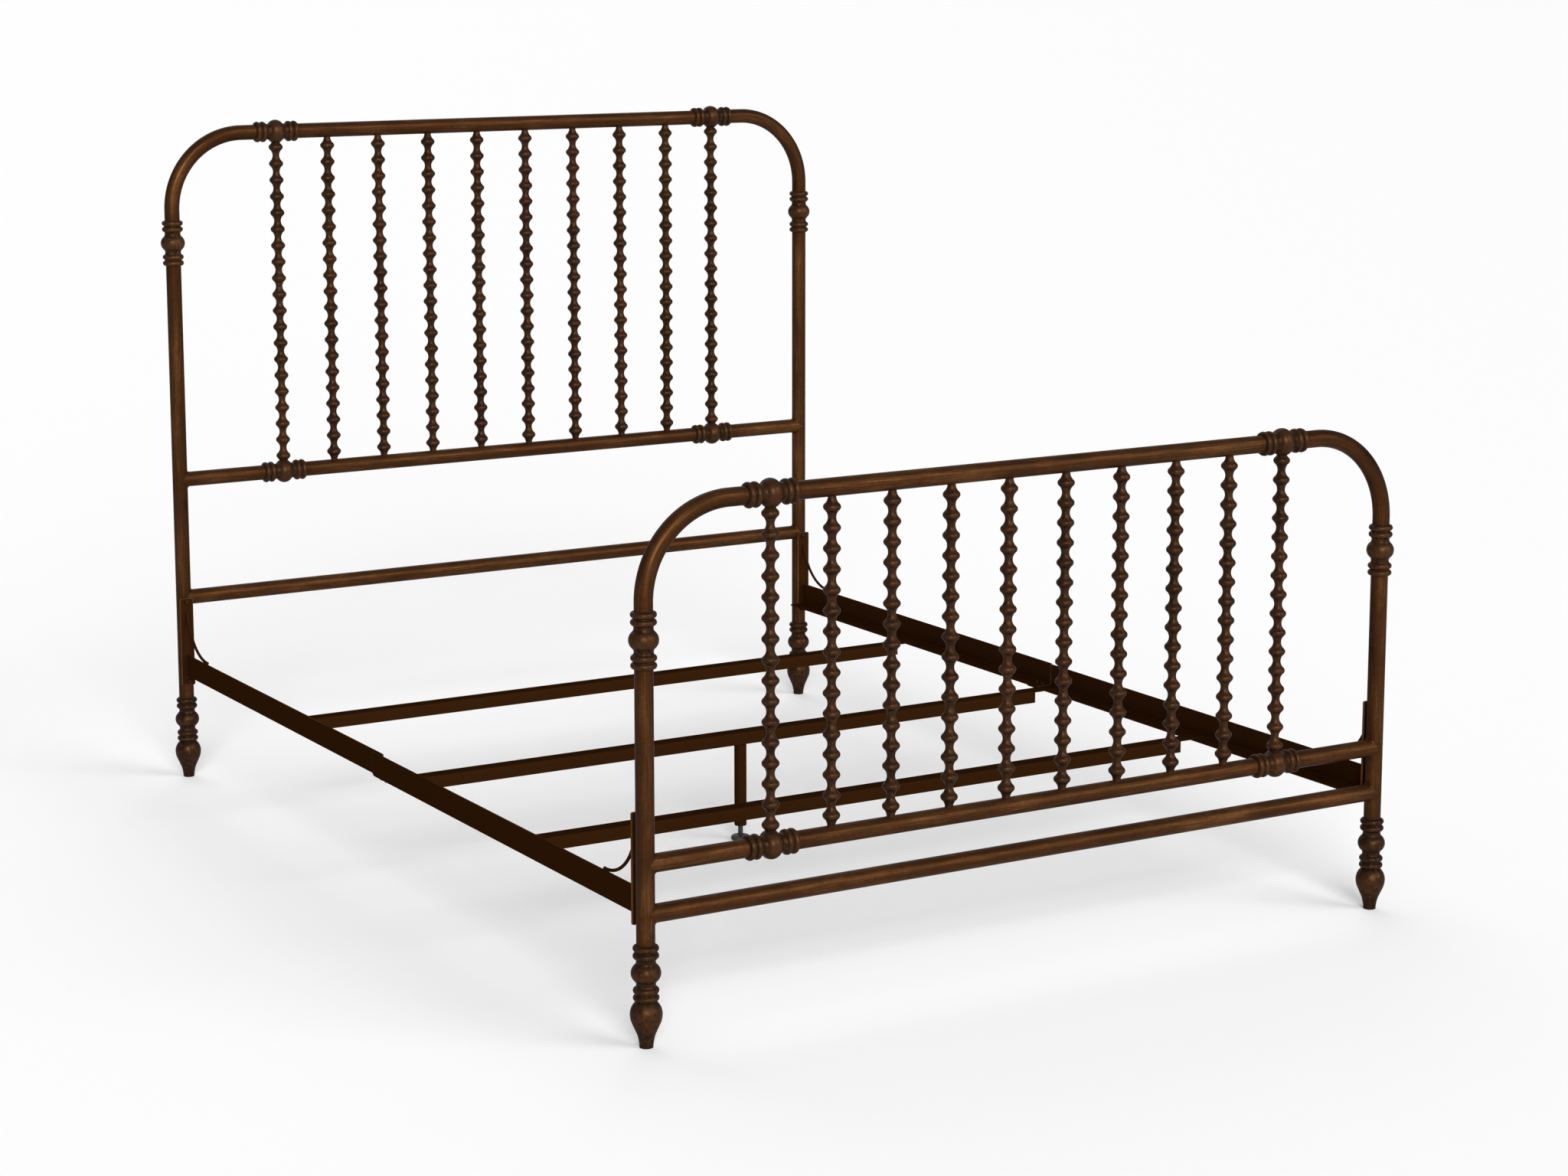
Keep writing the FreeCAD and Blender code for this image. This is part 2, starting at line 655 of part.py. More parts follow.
def make_fasteners():
    """Bolts of the brackets and of the lapped rails, and the nut of each."""
    bolts, nuts = [], []
    nut_seat = (tube_bore * tube_bore - size("nut_dia") * size("nut_dia") / 4).root() - fit_gap
    for side in SIDES.values():
        for end in ENDS.values():
            for height in bolt_heights:
                turn = QUARTER_TURN * end
                x = half_span * side
                point = (plate_face + size("bolt_length")) * end
                bolt = make_bolt("bracket_bolt", size("bolt_length"))
                bolts.append(place(bolt, x, point, height, (1, 0, 0), turn))
                inner_face = (half_length - nut_seat + size("nut_height")) * end
                nuts.append(place(make_nut("bracket_nut"), x, inner_face, height, (1, 0, 0), turn))
        for y in lap_bolts:
            x = lap_bolt_x * side
            length = size("lap_bolt_length")
            bolts.append(place(make_bolt("lap_bolt", length), x, y, inner_flange_top - length))
            nuts.append(place(make_nut("lap_nut"), x, y, rail_bottom - size("nut_height")))
    for label, solids in (("rail_bolts", bolts), ("rail_nuts", nuts)):
        group = doc.addObject("Part::Compound", label)
        group.Links = solids
        keep(label, group)


def make_slat(name, near, seat):
    """An angle bar laid across the rail flanges, its hanging leg cut back at both ends."""
    thick, drop = size("slat_thick"), size("slat_drop")
    half = rail_face - size("rail_thick") * 2 - size("rail_bend") - fit_gap
    start, outline = angle_outline(slat_width, drop, thick, size("slat_bend"))
    bar = padded(f"{name}_bar", "YZ_Plane", start, outline, half * 2)
    place(bar, -half, near, seat + thick, (1, 0, 0), -QUARTER_TURN)
    notches = []
    for x in (-half, half - size("slat_end_cut")):
        notch = doc.addObject("Part::Box", f"{name}_notch")
        bind(notch, Length=size("slat_end_cut"), Width=slat_width, Height=drop - thick)
        notches.append(place(notch, x, near, seat + thick - drop))
    return cut(name, bar, notches)


def make_slats():
    """A slat towards each end of the bed, and one beside the laps over the centre leg."""
    reach = size("end_slat_reach")
    group = doc.addObject("Part::Compound", "end_slats")
    group.Links = [make_slat("head_slat", reach - slat_width / 2, inner_flange_top),
                   make_slat("foot_slat", -reach - slat_width / 2, outer_flange_top)]
    keep("end_slats", group)
    keep("middle_slat", make_slat("middle_slat", middle_slat_near, outer_flange_top))


def make_centre_leg():
    """A tube under the middle slat, plugged at its foot and bored for the glide's stem."""
    ground, plug, radius = size("leg_ground"), size("plug_height"), size("leg_dia") / 2
    tube = cylinder("centre_leg_tube", radius, outer_flange_top - ground)
    hollow = cylinder("centre_leg_hollow", radius - size("leg_wall"), outer_flange_top - ground - plug)
    bore = cylinder("centre_leg_bore", size("stem_dia") / 2 + size("stem_gap"), plug)
    for obj, height in ((tube, ground), (hollow, ground + plug), (bore, ground)):
        place(obj, ZERO, leg_y, height)
    keep("centre_leg", cut("centre_leg", tube, [hollow, bore]))


def make_glide():
    """A round pad on a stem that runs in the centre leg's plug."""
    pad, height, stem = size("pad_dia") / 2, size("pad_height"), size("stem_dia") / 2
    tip = height + size("stem_length")
    points = [(pad * out, height * up if up else ZERO) for out, up in PAD_SHARES]
    base, heel, side, shoulder, crown, top = points
    outline = [(base,), (heel, side), (shoulder,), (crown, top), ((stem, height),), ((stem, tip),),
               ((ZERO, tip),), ((ZERO, ZERO),)]
    keep("levelling_glide", place(turned("levelling_glide", (ZERO, ZERO), outline), ZERO, leg_y, ZERO))


def build():
    for end_name, end in ENDS.items():
        for side_name, side in SIDES.items():
            make_turned_foot(f"{end_name}_turned_foot_{side_name}", side, end)
            make_post(f"{end_name}_post_{side_name}", side, end, end_name)
            make_bracket(f"{end_name}_bracket_{side_name}", side, end_name, end)
        make_rails(end_name, end)
        make_collars(end_name, end)
        for number, x in enumerate(spindle_places(), start=1):
            make_spindle(f"{end_name}_spindle_{number:02d}", x, end_name, end)
    for side_name, side in SIDES.items():
        make_side_rails(side_name, side)
    make_fasteners()
    make_slats()
    make_centre_leg()
    make_glide()
    doc.recompute()


def write_parts():
    """Stop at any broken object, then write one file per node."""
    broken = [obj.Label for obj in doc.Objects if {"Invalid", "Error"} & set(obj.State)]
    broken += [label for label, obj in nodes.items() if obj.Shape.isNull() or not obj.Shape.isValid()]
    if broken:
        raise RuntimeError(f"broken objects: {broken}")
    os.makedirs("parts", exist_ok=True)
    for label, obj in nodes.items():
        obj.Shape.exportStep(f"parts/{label}.step")


build()
write_parts()
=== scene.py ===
import math
import bmesh
import bpy
import numpy as np
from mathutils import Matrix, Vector


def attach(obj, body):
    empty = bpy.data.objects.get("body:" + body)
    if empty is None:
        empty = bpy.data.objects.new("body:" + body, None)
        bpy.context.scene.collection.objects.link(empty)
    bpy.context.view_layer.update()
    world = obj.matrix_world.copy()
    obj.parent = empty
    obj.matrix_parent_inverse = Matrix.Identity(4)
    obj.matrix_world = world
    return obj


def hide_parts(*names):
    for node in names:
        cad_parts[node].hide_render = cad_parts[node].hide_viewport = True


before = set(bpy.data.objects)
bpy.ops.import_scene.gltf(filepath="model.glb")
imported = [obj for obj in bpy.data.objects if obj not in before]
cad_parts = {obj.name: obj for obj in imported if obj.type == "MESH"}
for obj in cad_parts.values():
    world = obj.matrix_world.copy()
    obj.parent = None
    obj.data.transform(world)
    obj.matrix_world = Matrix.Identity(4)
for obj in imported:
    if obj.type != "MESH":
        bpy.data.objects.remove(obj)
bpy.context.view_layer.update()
print("frame loaded:", len(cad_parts), "nodes")

# places shared by several pieces, in metres: X across the bed, Y towards the headboard, Z up
bed = {
    "halfSpan": 0.78, "halfLength": 1.05,       # centre lines of the posts
    "tube": 0.016, "bend": 0.16,                # radius of every tube, and of the bends' centre line
    "butt": 0.56,                               # where post tube and top rail meet, inside a collar
    "outerSpindle": 0.54, "spindles": 10,
    "legTop": 0.1772,                           # top of the turned feet, where the posts start
    "plateFace": 1.0289,                        # face of the bracket plates that the rails butt against
    "ends": {
        "head": {"sign": 1, "cross": 0.399, "lower": 0.658, "top": 1.400, "collar": 1.170, "beads": 20},
        "foot": {"sign": -1, "cross": 0.228, "lower": 0.314, "top": 0.914, "collar": 0.692, "beads": 16},
    },
    "sides": {"left": -1, "right": 1},
}
tiny = 1e-6                                     # points nearer than this are one


# finishes: node trees written as sums of sockets

class Wire:
    # an output socket; sums of wires and numbers add Math nodes
    def __init__(self, paint, socket):
        self.paint, self.socket = paint, socket

    def math(self, operation, first, second):
        return self.paint.add("ShaderNodeMath", {"operation": operation}, {0: first, 1: second})

    def __add__(self, other):
        return self.math("ADD", self, other)

    def __sub__(self, other):
        return self.math("SUBTRACT", self, other)

    def __rsub__(self, other):
        return self.math("SUBTRACT", other, self)

    def __mul__(self, other):
        return self.math("MULTIPLY", self, other)

    __radd__ = __add__
    __rmul__ = __mul__


class Paint:
    # one material and the nodes in it
    def __init__(self, name):
        self.material = bpy.data.materials.new(name)
        self.material.use_nodes = True
        self.tree = self.material.node_tree

    def add(self, kind, settings, sockets, out=0):
        made = self.tree.nodes.new(kind)
        for key, value in settings.items():
            setattr(made, key, value)
        for key, value in sockets.items():
            self.feed(made.inputs[key], value)
        return Wire(self, made.outputs[out])

    def feed(self, socket, value):
        if isinstance(value, Wire):
            self.tree.links.new(value.socket, socket)
        else:
            socket.default_value = value

    def shade(self, **values):
        # feeds the shader and hands the finished material back
        shader = self.tree.nodes["Principled BSDF"]
        for name, value in values.items():
            self.feed(shader.inputs[name.replace("_", " ")], value)
        return self.material

    def grain(self):
        # a place on the piece: two axes across the metal, the third along it
        return self.add("ShaderNodeAttribute", {"attribute_name": "grain"}, {}, "Vector")

    def crest(self):
        # how far a place stands proud, and so how much it is rubbed; on posts, spindles, level tubes and the
        # side rails' edges it also holds painted highlights and painted shade
        return self.add("ShaderNodeAttribute", {"attribute_name": "crest"}, {}, "Fac")

    def drawn(self, vector, squeeze):
        # a pattern drawn out along the metal: the third axis is squeezed
        return self.add("ShaderNodeVectorMath", {"operation": "MULTIPLY"}, {0: vector, 1: (1, 1, squeeze)})

    def noise(self, vector, scale, detail=3.0, roughness=0.55):
        return self.add("ShaderNodeTexNoise", {}, {"Vector": vector, "Scale": scale, "Detail": detail,
                                                   "Roughness": roughness})

    def sway(self, value, reach):
        # a value from 0 to 1, about its middle, times its reach
        return (value - 0.5) * reach

    def ease(self, value, low, high):
        return self.add("ShaderNodeMapRange", {"interpolation_type": "SMOOTHSTEP"},
                        {"Value": value, "From Min": low, "From Max": high})

    def blend(self, share, first, second):
        return self.add("ShaderNodeMix", {"data_type": "RGBA"}, {0: share, 6: first, 7: second}, 2)

    def bump(self, height, strength, distance):
        return self.add("ShaderNodeBump", {}, {"Height": height, "Strength": strength, "Distance": distance})


def tone(red, green, blue):
    # a screen colour, 0 to 255, as linear light
    share = np.array([red, green, blue]) / 255
    linear = np.where(share > 0.04045, ((share + 0.055) / 1.055) ** 2.4, share / 12.92)
    return (*linear.tolist(), 1.0)


bronze = {
    "dark": tone(30, 16, 6), "brown": tone(53, 32, 15), "red": tone(58, 32, 15), "gold": tone(100, 66, 37),
    "wax": tone(100, 84, 70), "edgeTint": tone(110, 74, 44),
    "cloudSize": 16.0, "cloudSqueeze": 0.4, "driftSize": 43.2, "driftSqueeze": 0.7, "blotchSize": 150.0,
    "streakSize": 420.0, "streakSqueeze": 0.035, "speckSize": 1400.0, "fineDetail": 2.0, "speckRough": 0.6,
    # how far crest, clouds and specks reach, and where blotches end
    "crestReach": 0.5, "cloudReach": 0.9, "speckReach": 0.5, "blotchEnd": 1.2,
    # wear at which one colour turns into the next
    "redFrom": 0.38, "redTo": 0.66, "brownFrom": -0.42, "goldFrom": 0.02, "goldTo": 0.75,
    "metallic": 0.5, "specular": 0.14, "roughness": 0.37, "roughCloud": 0.18, "roughStreak": 0.16,
    "bumpStreak": 0.7, "bumpSpeck": 0.3, "bump": 0.10, "bumpDepth": 0.0006,
}


def rubbedBronze(name, lift, streakReach, mottle, haze):
    # brown lacquer, rubbed to gold on what stands proud, dark and blotchy in the hollows, under thin wax:
    # wear is a sum of crest, clouds, streaks, blotches and specks, and picks the colour; the crest also
    # carries painted highlights and painted shade on posts, spindles and level tubes
    paint, b = Paint(name), bronze
    grain, crest = paint.grain(), paint.crest()
    cloud = paint.noise(paint.drawn(grain, b["cloudSqueeze"]), b["cloudSize"])
    drift = paint.noise(paint.drawn(grain, b["driftSqueeze"]), b["driftSize"])
    blotch = paint.noise(grain, b["blotchSize"])
    streak = paint.noise(paint.drawn(grain, b["streakSqueeze"]), b["streakSize"], b["fineDetail"])
    speck = paint.noise(grain, b["speckSize"], b["fineDetail"], b["speckRough"])
    worn = lift + paint.sway(crest, b["crestReach"]) + paint.sway(cloud, b["cloudReach"])
    worn = worn + paint.sway(streak, streakReach) + paint.sway(speck, mottle * b["speckReach"])
    worn = worn + paint.sway(blotch, b["blotchEnd"] - crest) * mottle
    warm = paint.blend(paint.ease(drift, b["redFrom"], b["redTo"]), b["brown"], b["red"])
    deep = paint.blend(paint.ease(worn, b["brownFrom"], b["goldFrom"]), b["dark"], warm)
    bare = paint.blend(paint.ease(worn, b["goldFrom"], b["goldTo"]), deep, b["gold"])
    colour = paint.blend(blotch * haze, bare, b["wax"])
    rough = b["roughness"] + paint.sway(cloud, b["roughCloud"]) - paint.sway(streak, b["roughStreak"])
    skin = paint.bump(streak * b["bumpStreak"] + speck * b["bumpSpeck"], b["bump"], b["bumpDepth"])
    return paint.shade(Base_Color=colour, Roughness=rough, Normal=skin, Metallic=b["metallic"],
                       Specular_IOR_Level=b["specular"], Specular_Tint=b["edgeTint"])


satin = {
    "base": tone(44, 24, 8), "rub": tone(92, 62, 36), "bare": tone(136, 112, 88),
    "edgeTint": tone(120, 82, 48),
    "cloudSize": 22.0, "cloudSqueeze": 0.3, "millSize": 260.0, "millSqueeze": 0.03, "millDetail": 2.0,
    "flakeSize": 260.0, "flakeDetail": 2.0,
    # how far crest, clouds, mill marks and flakes reach, and where paint thins and chips
    "crestReach": 0.9, "cloudReach": 0.9, "millReach": 0.5, "thinFrom": 0.35, "thinTo": 1.1,
    "flakeReach": 1.4, "chipFrom": 1.24, "chipTo": 1.36,
    "metallic": 0.3, "chipMetal": 0.5, "specular": 0.0, "roughness": 0.5, "roughCloud": 0.2, "roughMill": 0.1,
    "bump": 0.06, "bumpDepth": 0.0006,
}


def satinPaint(name):
    # near-black brown paint on rolled steel, thin along the edges and chipped to bare metal where sharp;
    # along the side rails' upper edge and ends the lighter tone is also a painted highlight
    paint, s = Paint(name), satin
    grain, crest = paint.grain(), paint.crest()
    cloud = paint.noise(paint.drawn(grain, s["cloudSqueeze"]), s["cloudSize"])
    mill = paint.noise(paint.drawn(grain, s["millSqueeze"]), s["millSize"], s["millDetail"])
    flake = paint.noise(grain, s["flakeSize"], s["flakeDetail"])
    rubbed = crest * s["crestReach"] + paint.sway(cloud, s["cloudReach"]) + paint.sway(mill, s["millReach"])
    thin = paint.ease(rubbed, s["thinFrom"], s["thinTo"])
    chip = paint.ease(crest + paint.sway(flake, s["flakeReach"]), s["chipFrom"], s["chipTo"])
    colour = paint.blend(chip, paint.blend(thin, s["base"], s["rub"]), s["bare"])
    rough = s["roughness"] + paint.sway(cloud, s["roughCloud"]) + paint.sway(mill, s["roughMill"])
    return paint.shade(Base_Color=colour, Roughness=rough, Normal=paint.bump(mill, s["bump"], s["bumpDepth"]),
                       Metallic=s["metallic"] + chip * s["chipMetal"], Specular_IOR_Level=s["specular"],
                       Specular_Tint=s["edgeTint"])


browned = {
    "base": tone(36, 21, 9), "bright": tone(104, 82, 60), "rubSize": 500.0,
    "crestReach": 0.6, "rubReach": 1.0,
    "brightFrom": 0.5, "brightTo": 0.95, "metallic": 0.3, "brightMetal": 0.5, "specular": 0.05,
    "roughness": 0.6, "roughRub": 0.2,
}


def blackenedSteel(name):
    # bolts browned like the rails, bright where a spanner has touched them
    paint, b = Paint(name), browned
    rub = paint.noise(paint.grain(), b["rubSize"])
    touched = paint.crest() * b["crestReach"] + paint.sway(rub, b["rubReach"])
    bright = paint.ease(touched, b["brightFrom"], b["brightTo"])
    return paint.shade(Base_Color=paint.blend(bright, b["base"], b["bright"]),
                       Roughness=b["roughness"] - rub * b["roughRub"],
                       Metallic=b["metallic"] + bright * b["brightMetal"],
                       Specular_IOR_Level=b["specular"], Specular_Tint=satin["edgeTint"])


plastic = {
    "base": tone(24, 23, 22), "worn": tone(48, 46, 43), "pitSize": 1800.0, "pitDetail": 2.0,
    "scuffSize": 60.0, "scuffFrom": 0.4, "scuffTo": 0.75, "roughness": 0.5, "roughScuff": 0.2,
    "bump": 0.2, "bumpDepth": 0.0003,
}


def mouldedPlastic(name):
    # black plastic with a fine spark-eroded skin, greyed where it is scuffed
    paint, p = Paint(name), plastic
    grain = paint.grain()
    pits = paint.noise(grain, p["pitSize"], p["pitDetail"])
    scuff = paint.noise(grain, p["scuffSize"])
    colour = paint.blend(paint.ease(scuff, p["scuffFrom"], p["scuffTo"]), p["base"], p["worn"])
    return paint.shade(Base_Color=colour, Roughness=p["roughness"] + scuff * p["roughScuff"],
                       Normal=paint.bump(pits, p["bump"], p["bumpDepth"]))


finishes = {
    "tube": rubbedBronze("rubbed bronze tube", lift=0.10, streakReach=0.75, mottle=0.5, haze=0.02),
    "casting": rubbedBronze("rubbed bronze casting", lift=-0.14, streakReach=0.35, mottle=1.3, haze=0.15),
    "rail": satinPaint("satin rail paint"),
    "fastener": blackenedSteel("blackened steel"),
    "glide": mouldedPlastic("moulded plastic"),
}
print("finishes:", ", ".join(finishes))


# surfaces: grids of points worked out as whole arrays

def ringAngles(cols):
    # a full turn, evenly divided
    return np.arange(cols) / cols * 2 * np.pi


def gridFaces(rows, cols, closed=False):
    # quads of a grid whose columns close into rings, and whose rows close too if the section is a loop
    row = np.arange(rows if closed else rows - 1)[:, None]
    col = np.arange(cols)[None, :]
    nextRow, nextCol = (row + 1) % rows, (col + 1) % cols
    quads = [row * cols + col, row * cols + nextCol, nextRow * cols + nextCol, nextRow * cols + col]
    return np.stack(np.broadcast_arrays(*quads), -1).reshape(-1, 4).tolist()


def cappedFaces(rows, cols):
    # the quads, and the flat faces that close the first and the last ring
    ring = np.arange(cols)
    return gridFaces(rows, cols) + [ring[::-1].tolist(), (ring + (rows - 1) * cols).tolist()]


def stacked(*axes):
    # arrays of X, Y and Z, spread to one shape and put together as points
    return np.stack(np.broadcast_arrays(*axes), -1)


def lathe(profile, cols):
    # each point of a profile of radius and height, carried round the Z axis
    angle = ringAngles(cols)
    radius, height = profile[:, :1], profile[:, 1:]
    return stacked(radius * np.cos(angle), radius * np.sin(angle), height)


# the rows of each turn say where local X, Y and Z come to lie when local Z is laid along an axis of the bed
axisTurns = {
    (0, 0, 1): np.eye(3), (1, 0, 0): np.array([[0, 1, 0], [0, 0, 1], [1, 0, 0]]),
    (0, 1, 0): np.array([[0, 0, 1], [1, 0, 0], [0, 1, 0]]),
    (0, -1, 0): np.array([[1, 0, 0], [0, 0, 1], [0, -1, 0]]),
}


def stood(points, at, along):
    # points turned to lie along an axis, with their origin carried to a place
    return points @ axisTurns[along] + np.array(at)


def arcLine(centre, radius, first, last, count):
    # points of a circle from one angle to another, without the first one
    angle = np.linspace(first, last, count + 1)[1:]
    return np.stack([centre[0] + radius * np.cos(angle), centre[1] + radius * np.sin(angle)], 1)


def roundedOutline(corners, radii, steps=7):
    # every corner of a closed outline is swapped for an arc that is tangent to both of its sides
    corners, radii = np.array(corners, float), np.array(radii, float)[:, None]
    back, ahead = np.roll(corners, 1, 0) - corners, np.roll(corners, -1, 0) - corners
    back /= np.linalg.norm(back, axis=1, keepdims=True)
    ahead /= np.linalg.norm(ahead, axis=1, keepdims=True)
    half = np.arccos(np.clip((back * ahead).sum(1, keepdims=True), -1, 1)) / 2
    middle = (back + ahead) / np.linalg.norm(back + ahead, axis=1, keepdims=True)
    centre = corners + middle * radii / np.sin(half)
    reach = radii / np.tan(half)
    first, last = corners + back * reach - centre, corners + ahead * reach - centre
    sweep = np.pi - 2 * half
    share = np.linspace(0, 1, steps)[None, :]
    before, after = np.sin((1 - share) * sweep)[..., None], np.sin(share * sweep)[..., None]
    swing = before * first[:, None] + after * last[:, None]
    return (centre[:, None] + swing / np.sin(sweep)[..., None]).reshape(-1, 2)


pieceCount = 0
grainStep = np.array([0.371, 0.613, 0.917])     # from piece to piece, so that no two look alike


def addPiece(name, points, faces, grain, crest, slot, replaced=(), body="frame", sharp=40, mend=False):
    # a finished piece: mesh, the two attributes its finish reads, and what it rides on
    global pieceCount
    pieceCount += 1
    mesh = bpy.data.meshes.new(name)
    mesh.from_pydata(points.reshape(-1, 3).tolist(), [], faces)
    mesh.attributes.new("grain", "FLOAT_VECTOR", "POINT").data.foreach_set(
        "vector", (grain.reshape(-1, 3) + grainStep * pieceCount).astype(np.float32).ravel())
    mesh.attributes.new("crest", "FLOAT", "POINT").data.foreach_set(
        "value", np.broadcast_to(crest, points.shape[:-1]).astype(np.float32).ravel())
    if mend:                                    # one point where several fell together, and faces outwards
        made = bmesh.new()
        made.from_mesh(mesh)
        bmesh.ops.remove_doubles(made, verts=made.verts, dist=tiny)
        bmesh.ops.recalc_face_normals(made, faces=made.faces)
        made.to_mesh(mesh)
        made.free()
    mesh.shade_smooth()
    mesh.set_sharp_from_angle(angle=math.radians(sharp))
    mesh.materials.append(finishes[slot])
    piece = bpy.data.objects.new(name, mesh)
    bpy.context.scene.collection.objects.link(piece)
    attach(piece, body)
    if replaced:
        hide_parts(*replaced)


def addTurning(name, profile, cols, at, along, crest, slot, replaced, body="frame", loop=False):
    # a turned piece: its profile goes round its own axis, and the axis is laid where the piece stands
    local = lathe(profile, cols)
    faces = gridFaces(len(profile), cols, True) if loop else cappedFaces(len(profile), cols)
    addPiece(name, stood(local, at, along), faces, local, crest[:, None], slot, replaced, body)


# castings: collars and turned feet
casting = {
    "neck": 0.0167, "ballCrest": 0.0255, "ballRound": 0.018, "ballCove": 0.0075, "ringCrest": 0.0222,
    "ringRound": 0.0055, "ringCove": 0.0042, "groove": 0.0013, "ringMiddle": 0.0297, "ringPitch": 0.0128,
    "lip": 0.0006, "cols": 72,
    "ballSteps": 16, "coveSteps": 8, "ringSteps": 14, "grooveSteps": 6, "lastSteps": 16,
    "hollowCrest": 0.15, "proudCrest": 0.7,
}


def neckCove(out, bulge, cove):
    # rise of a cove's centre over the bulge's, and the lean of the line between them
    span, reach = casting["neck"] + cove - out, bulge + cove
    rise = math.sqrt(reach ** 2 - span ** 2)
    return rise, math.atan2(rise, span)


def collarHalf():
    # from the ball's crest up: ball, cove, neck, cove, ring, groove, ring, as arcs tangent where they meet
    c = casting
    ballOut, ringOut = c["ballCrest"] - c["ballRound"], c["ringCrest"] - c["ringRound"]
    half = c["ringPitch"] / 2
    riseA, leanA = neckCove(ballOut, c["ballRound"], c["ballCove"])
    riseB, leanB = neckCove(ringOut, c["ringRound"], c["ringCove"])
    valley = math.sqrt((c["ringRound"] + c["groove"]) ** 2 - half ** 2)
    lean = math.atan2(half, valley)
    edge = math.acos((c["neck"] - ringOut) / c["ringRound"])
    ballCove = (c["neck"] + c["ballCove"], riseA)
    ringCove = (c["neck"] + c["ringCove"], c["ringMiddle"] - riseB)
    first, second = (ringOut, c["ringMiddle"]), (ringOut, c["ringMiddle"] + c["ringPitch"])
    between = (ringOut + valley, c["ringMiddle"] + half)
    line = np.concatenate([
        arcLine((ballOut, 0), c["ballRound"], 0, leanA, c["ballSteps"]),
        arcLine(ballCove, c["ballCove"], np.pi + leanA, np.pi, c["coveSteps"]),
        arcLine(ringCove, c["ringCove"], np.pi, np.pi - leanB, c["coveSteps"]),
        arcLine(first, c["ringRound"], -leanB, lean, c["ringSteps"]),
        arcLine(between, c["groove"], np.pi + lean, np.pi - lean, c["grooveSteps"]),
        arcLine(second, c["ringRound"], -lean, edge, c["lastSteps"])])
    return np.concatenate([line, line[-1:] + [0, c["lip"]]])


def collarProfile():
    # the half line, mirrored about the ball's crest
    half = collarHalf()
    crest = np.array([[casting["ballCrest"], 0.0]])
    return np.concatenate([half[::-1] * [1, -1], crest, half])


def exposure(profile, low, high):
    # 0 in the hollows, 1 on what stands proud
    return np.clip((profile[:, 0] - low) / (high - low), 0, 1)


collarLine = collarProfile()
collarProud = exposure(collarLine, casting["neck"], casting["ringCrest"])
collarCrest = casting["hollowCrest"] + casting["proudCrest"] * collarProud
collarReach = collarLine[-1, 1]


def addCollars(end, place):
    # the collar's line goes round each post, and round top and lower rail at the outer spindles
    y = bed["halfLength"] * place["sign"]
    for side, sign in bed["sides"].items():
        spots = {"post": ((bed["halfSpan"] * sign, y, place["collar"]), (0, 0, 1)),
                 "top": ((bed["outerSpindle"] * sign, y, place["top"]), (1, 0, 0)),
                 "lower": ((bed["outerSpindle"] * sign, y, place["lower"]), (1, 0, 0))}
        for rail, (at, along) in spots.items():
            node = f"{end}_{rail}_collar_{side}"
            addTurning(f"{node}_casting", collarLine, casting["cols"], at, along, collarCrest, "casting",
                       [node])


vase = {
    "base": 0.0118, "belly": 0.0275, "height": 0.080, "spigot": 0.010, "spigotRadius": 0.0144,
    # share of the swell from base to belly, share of the height, from the floor up
    "cove": [(0.0, 0.04), (0.085, 0.16), (0.245, 0.285)],
    "swell": [(0.8, 0.53), (0.943, 0.62), (1.0, 0.72)], "shoulder": (0.771, 0.894),
    "edge": 0.0006, "edgeRise": 0.008, "steps": 12, "shoulderSteps": 18,
    "hollowCrest": -0.05, "proudCrest": 0.5, "hollowAt": 0.0125, "proudAt": 0.0250,
}


def arcVia(first, via, last, count):
    # the arc through three points: its centre is as far from all of them
    rows = 2 * np.array([via - first, last - first])
    centre = np.linalg.solve(rows, np.array([via @ via - first @ first, last @ last - first @ first]))
    start, middle, end = (math.atan2(*(point - centre)[::-1]) for point in (first, via, last))
    if not start < middle < end:                # the arc runs the other way round
        middle, end = (angle - 2 * math.pi * (angle > start) for angle in (middle, end))
    return arcLine(centre, np.linalg.norm(first - centre), start, end, count)


def footProfile():
    # vase, then the collar's line, then the spigot that plugs the post
    v = vase

    def at(shares):
        swell, rise = shares
        return np.array([v["base"] + (v["belly"] - v["base"]) * swell, v["height"] * rise])

    cove, swell = [at(s) for s in v["cove"]], [at(s) for s in v["swell"]]
    top = np.array([casting["neck"], v["height"]])
    line = [at((0, 0))[None] - [v["edge"], 0], at((0, v["edgeRise"]))[None], cove[0][None],
            arcVia(*cove, v["steps"]), swell[0][None], arcVia(*swell, v["steps"]),
            arcVia(swell[-1], at(v["shoulder"]), top, v["shoulderSteps"])]
    collar = collarLine + [0, v["height"] + collarReach]
    plug = np.array([[v["spigotRadius"], 0], [v["spigotRadius"], v["spigot"]]]) + [0, collar[-1, 1]]
    return np.concatenate([*line, collar[1:], plug])


footLine = footProfile()
footCrest = vase["hollowCrest"] + vase["proudCrest"] * exposure(footLine, vase["hollowAt"], vase["proudAt"])


def addTurnedFeet(end, place):
    # the foot's line goes round under each post
    for side, sign in bed["sides"].items():
        node = f"{end}_turned_foot_{side}"
        at = (bed["halfSpan"] * sign, bed["halfLength"] * place["sign"], 0)
        addTurning(f"{node}_casting", footLine, casting["cols"], at, (0, 0, 1), footCrest, "casting", [node])


# spindles
spindle = {
    "bead": 0.0153, "waist": 0.0072, "pitch": 0.0355, "rim": 0.0068, "tenon": 0.006, "cols": 44,
    "coveSteps": 7, "rimSteps": 8,
    # where on a bead it is rubbed and lit by a painted highlight, and where painted shade darkens it, as
    # shares of the pitch from the rim
    "rubAndHighlightAt": 0.03, "paintedShadeAt": -0.15, "spread": 0.07, "crest": 0.54, "rubAndHighlightCrest": 0.2, "darkCrest": 0.4,
}


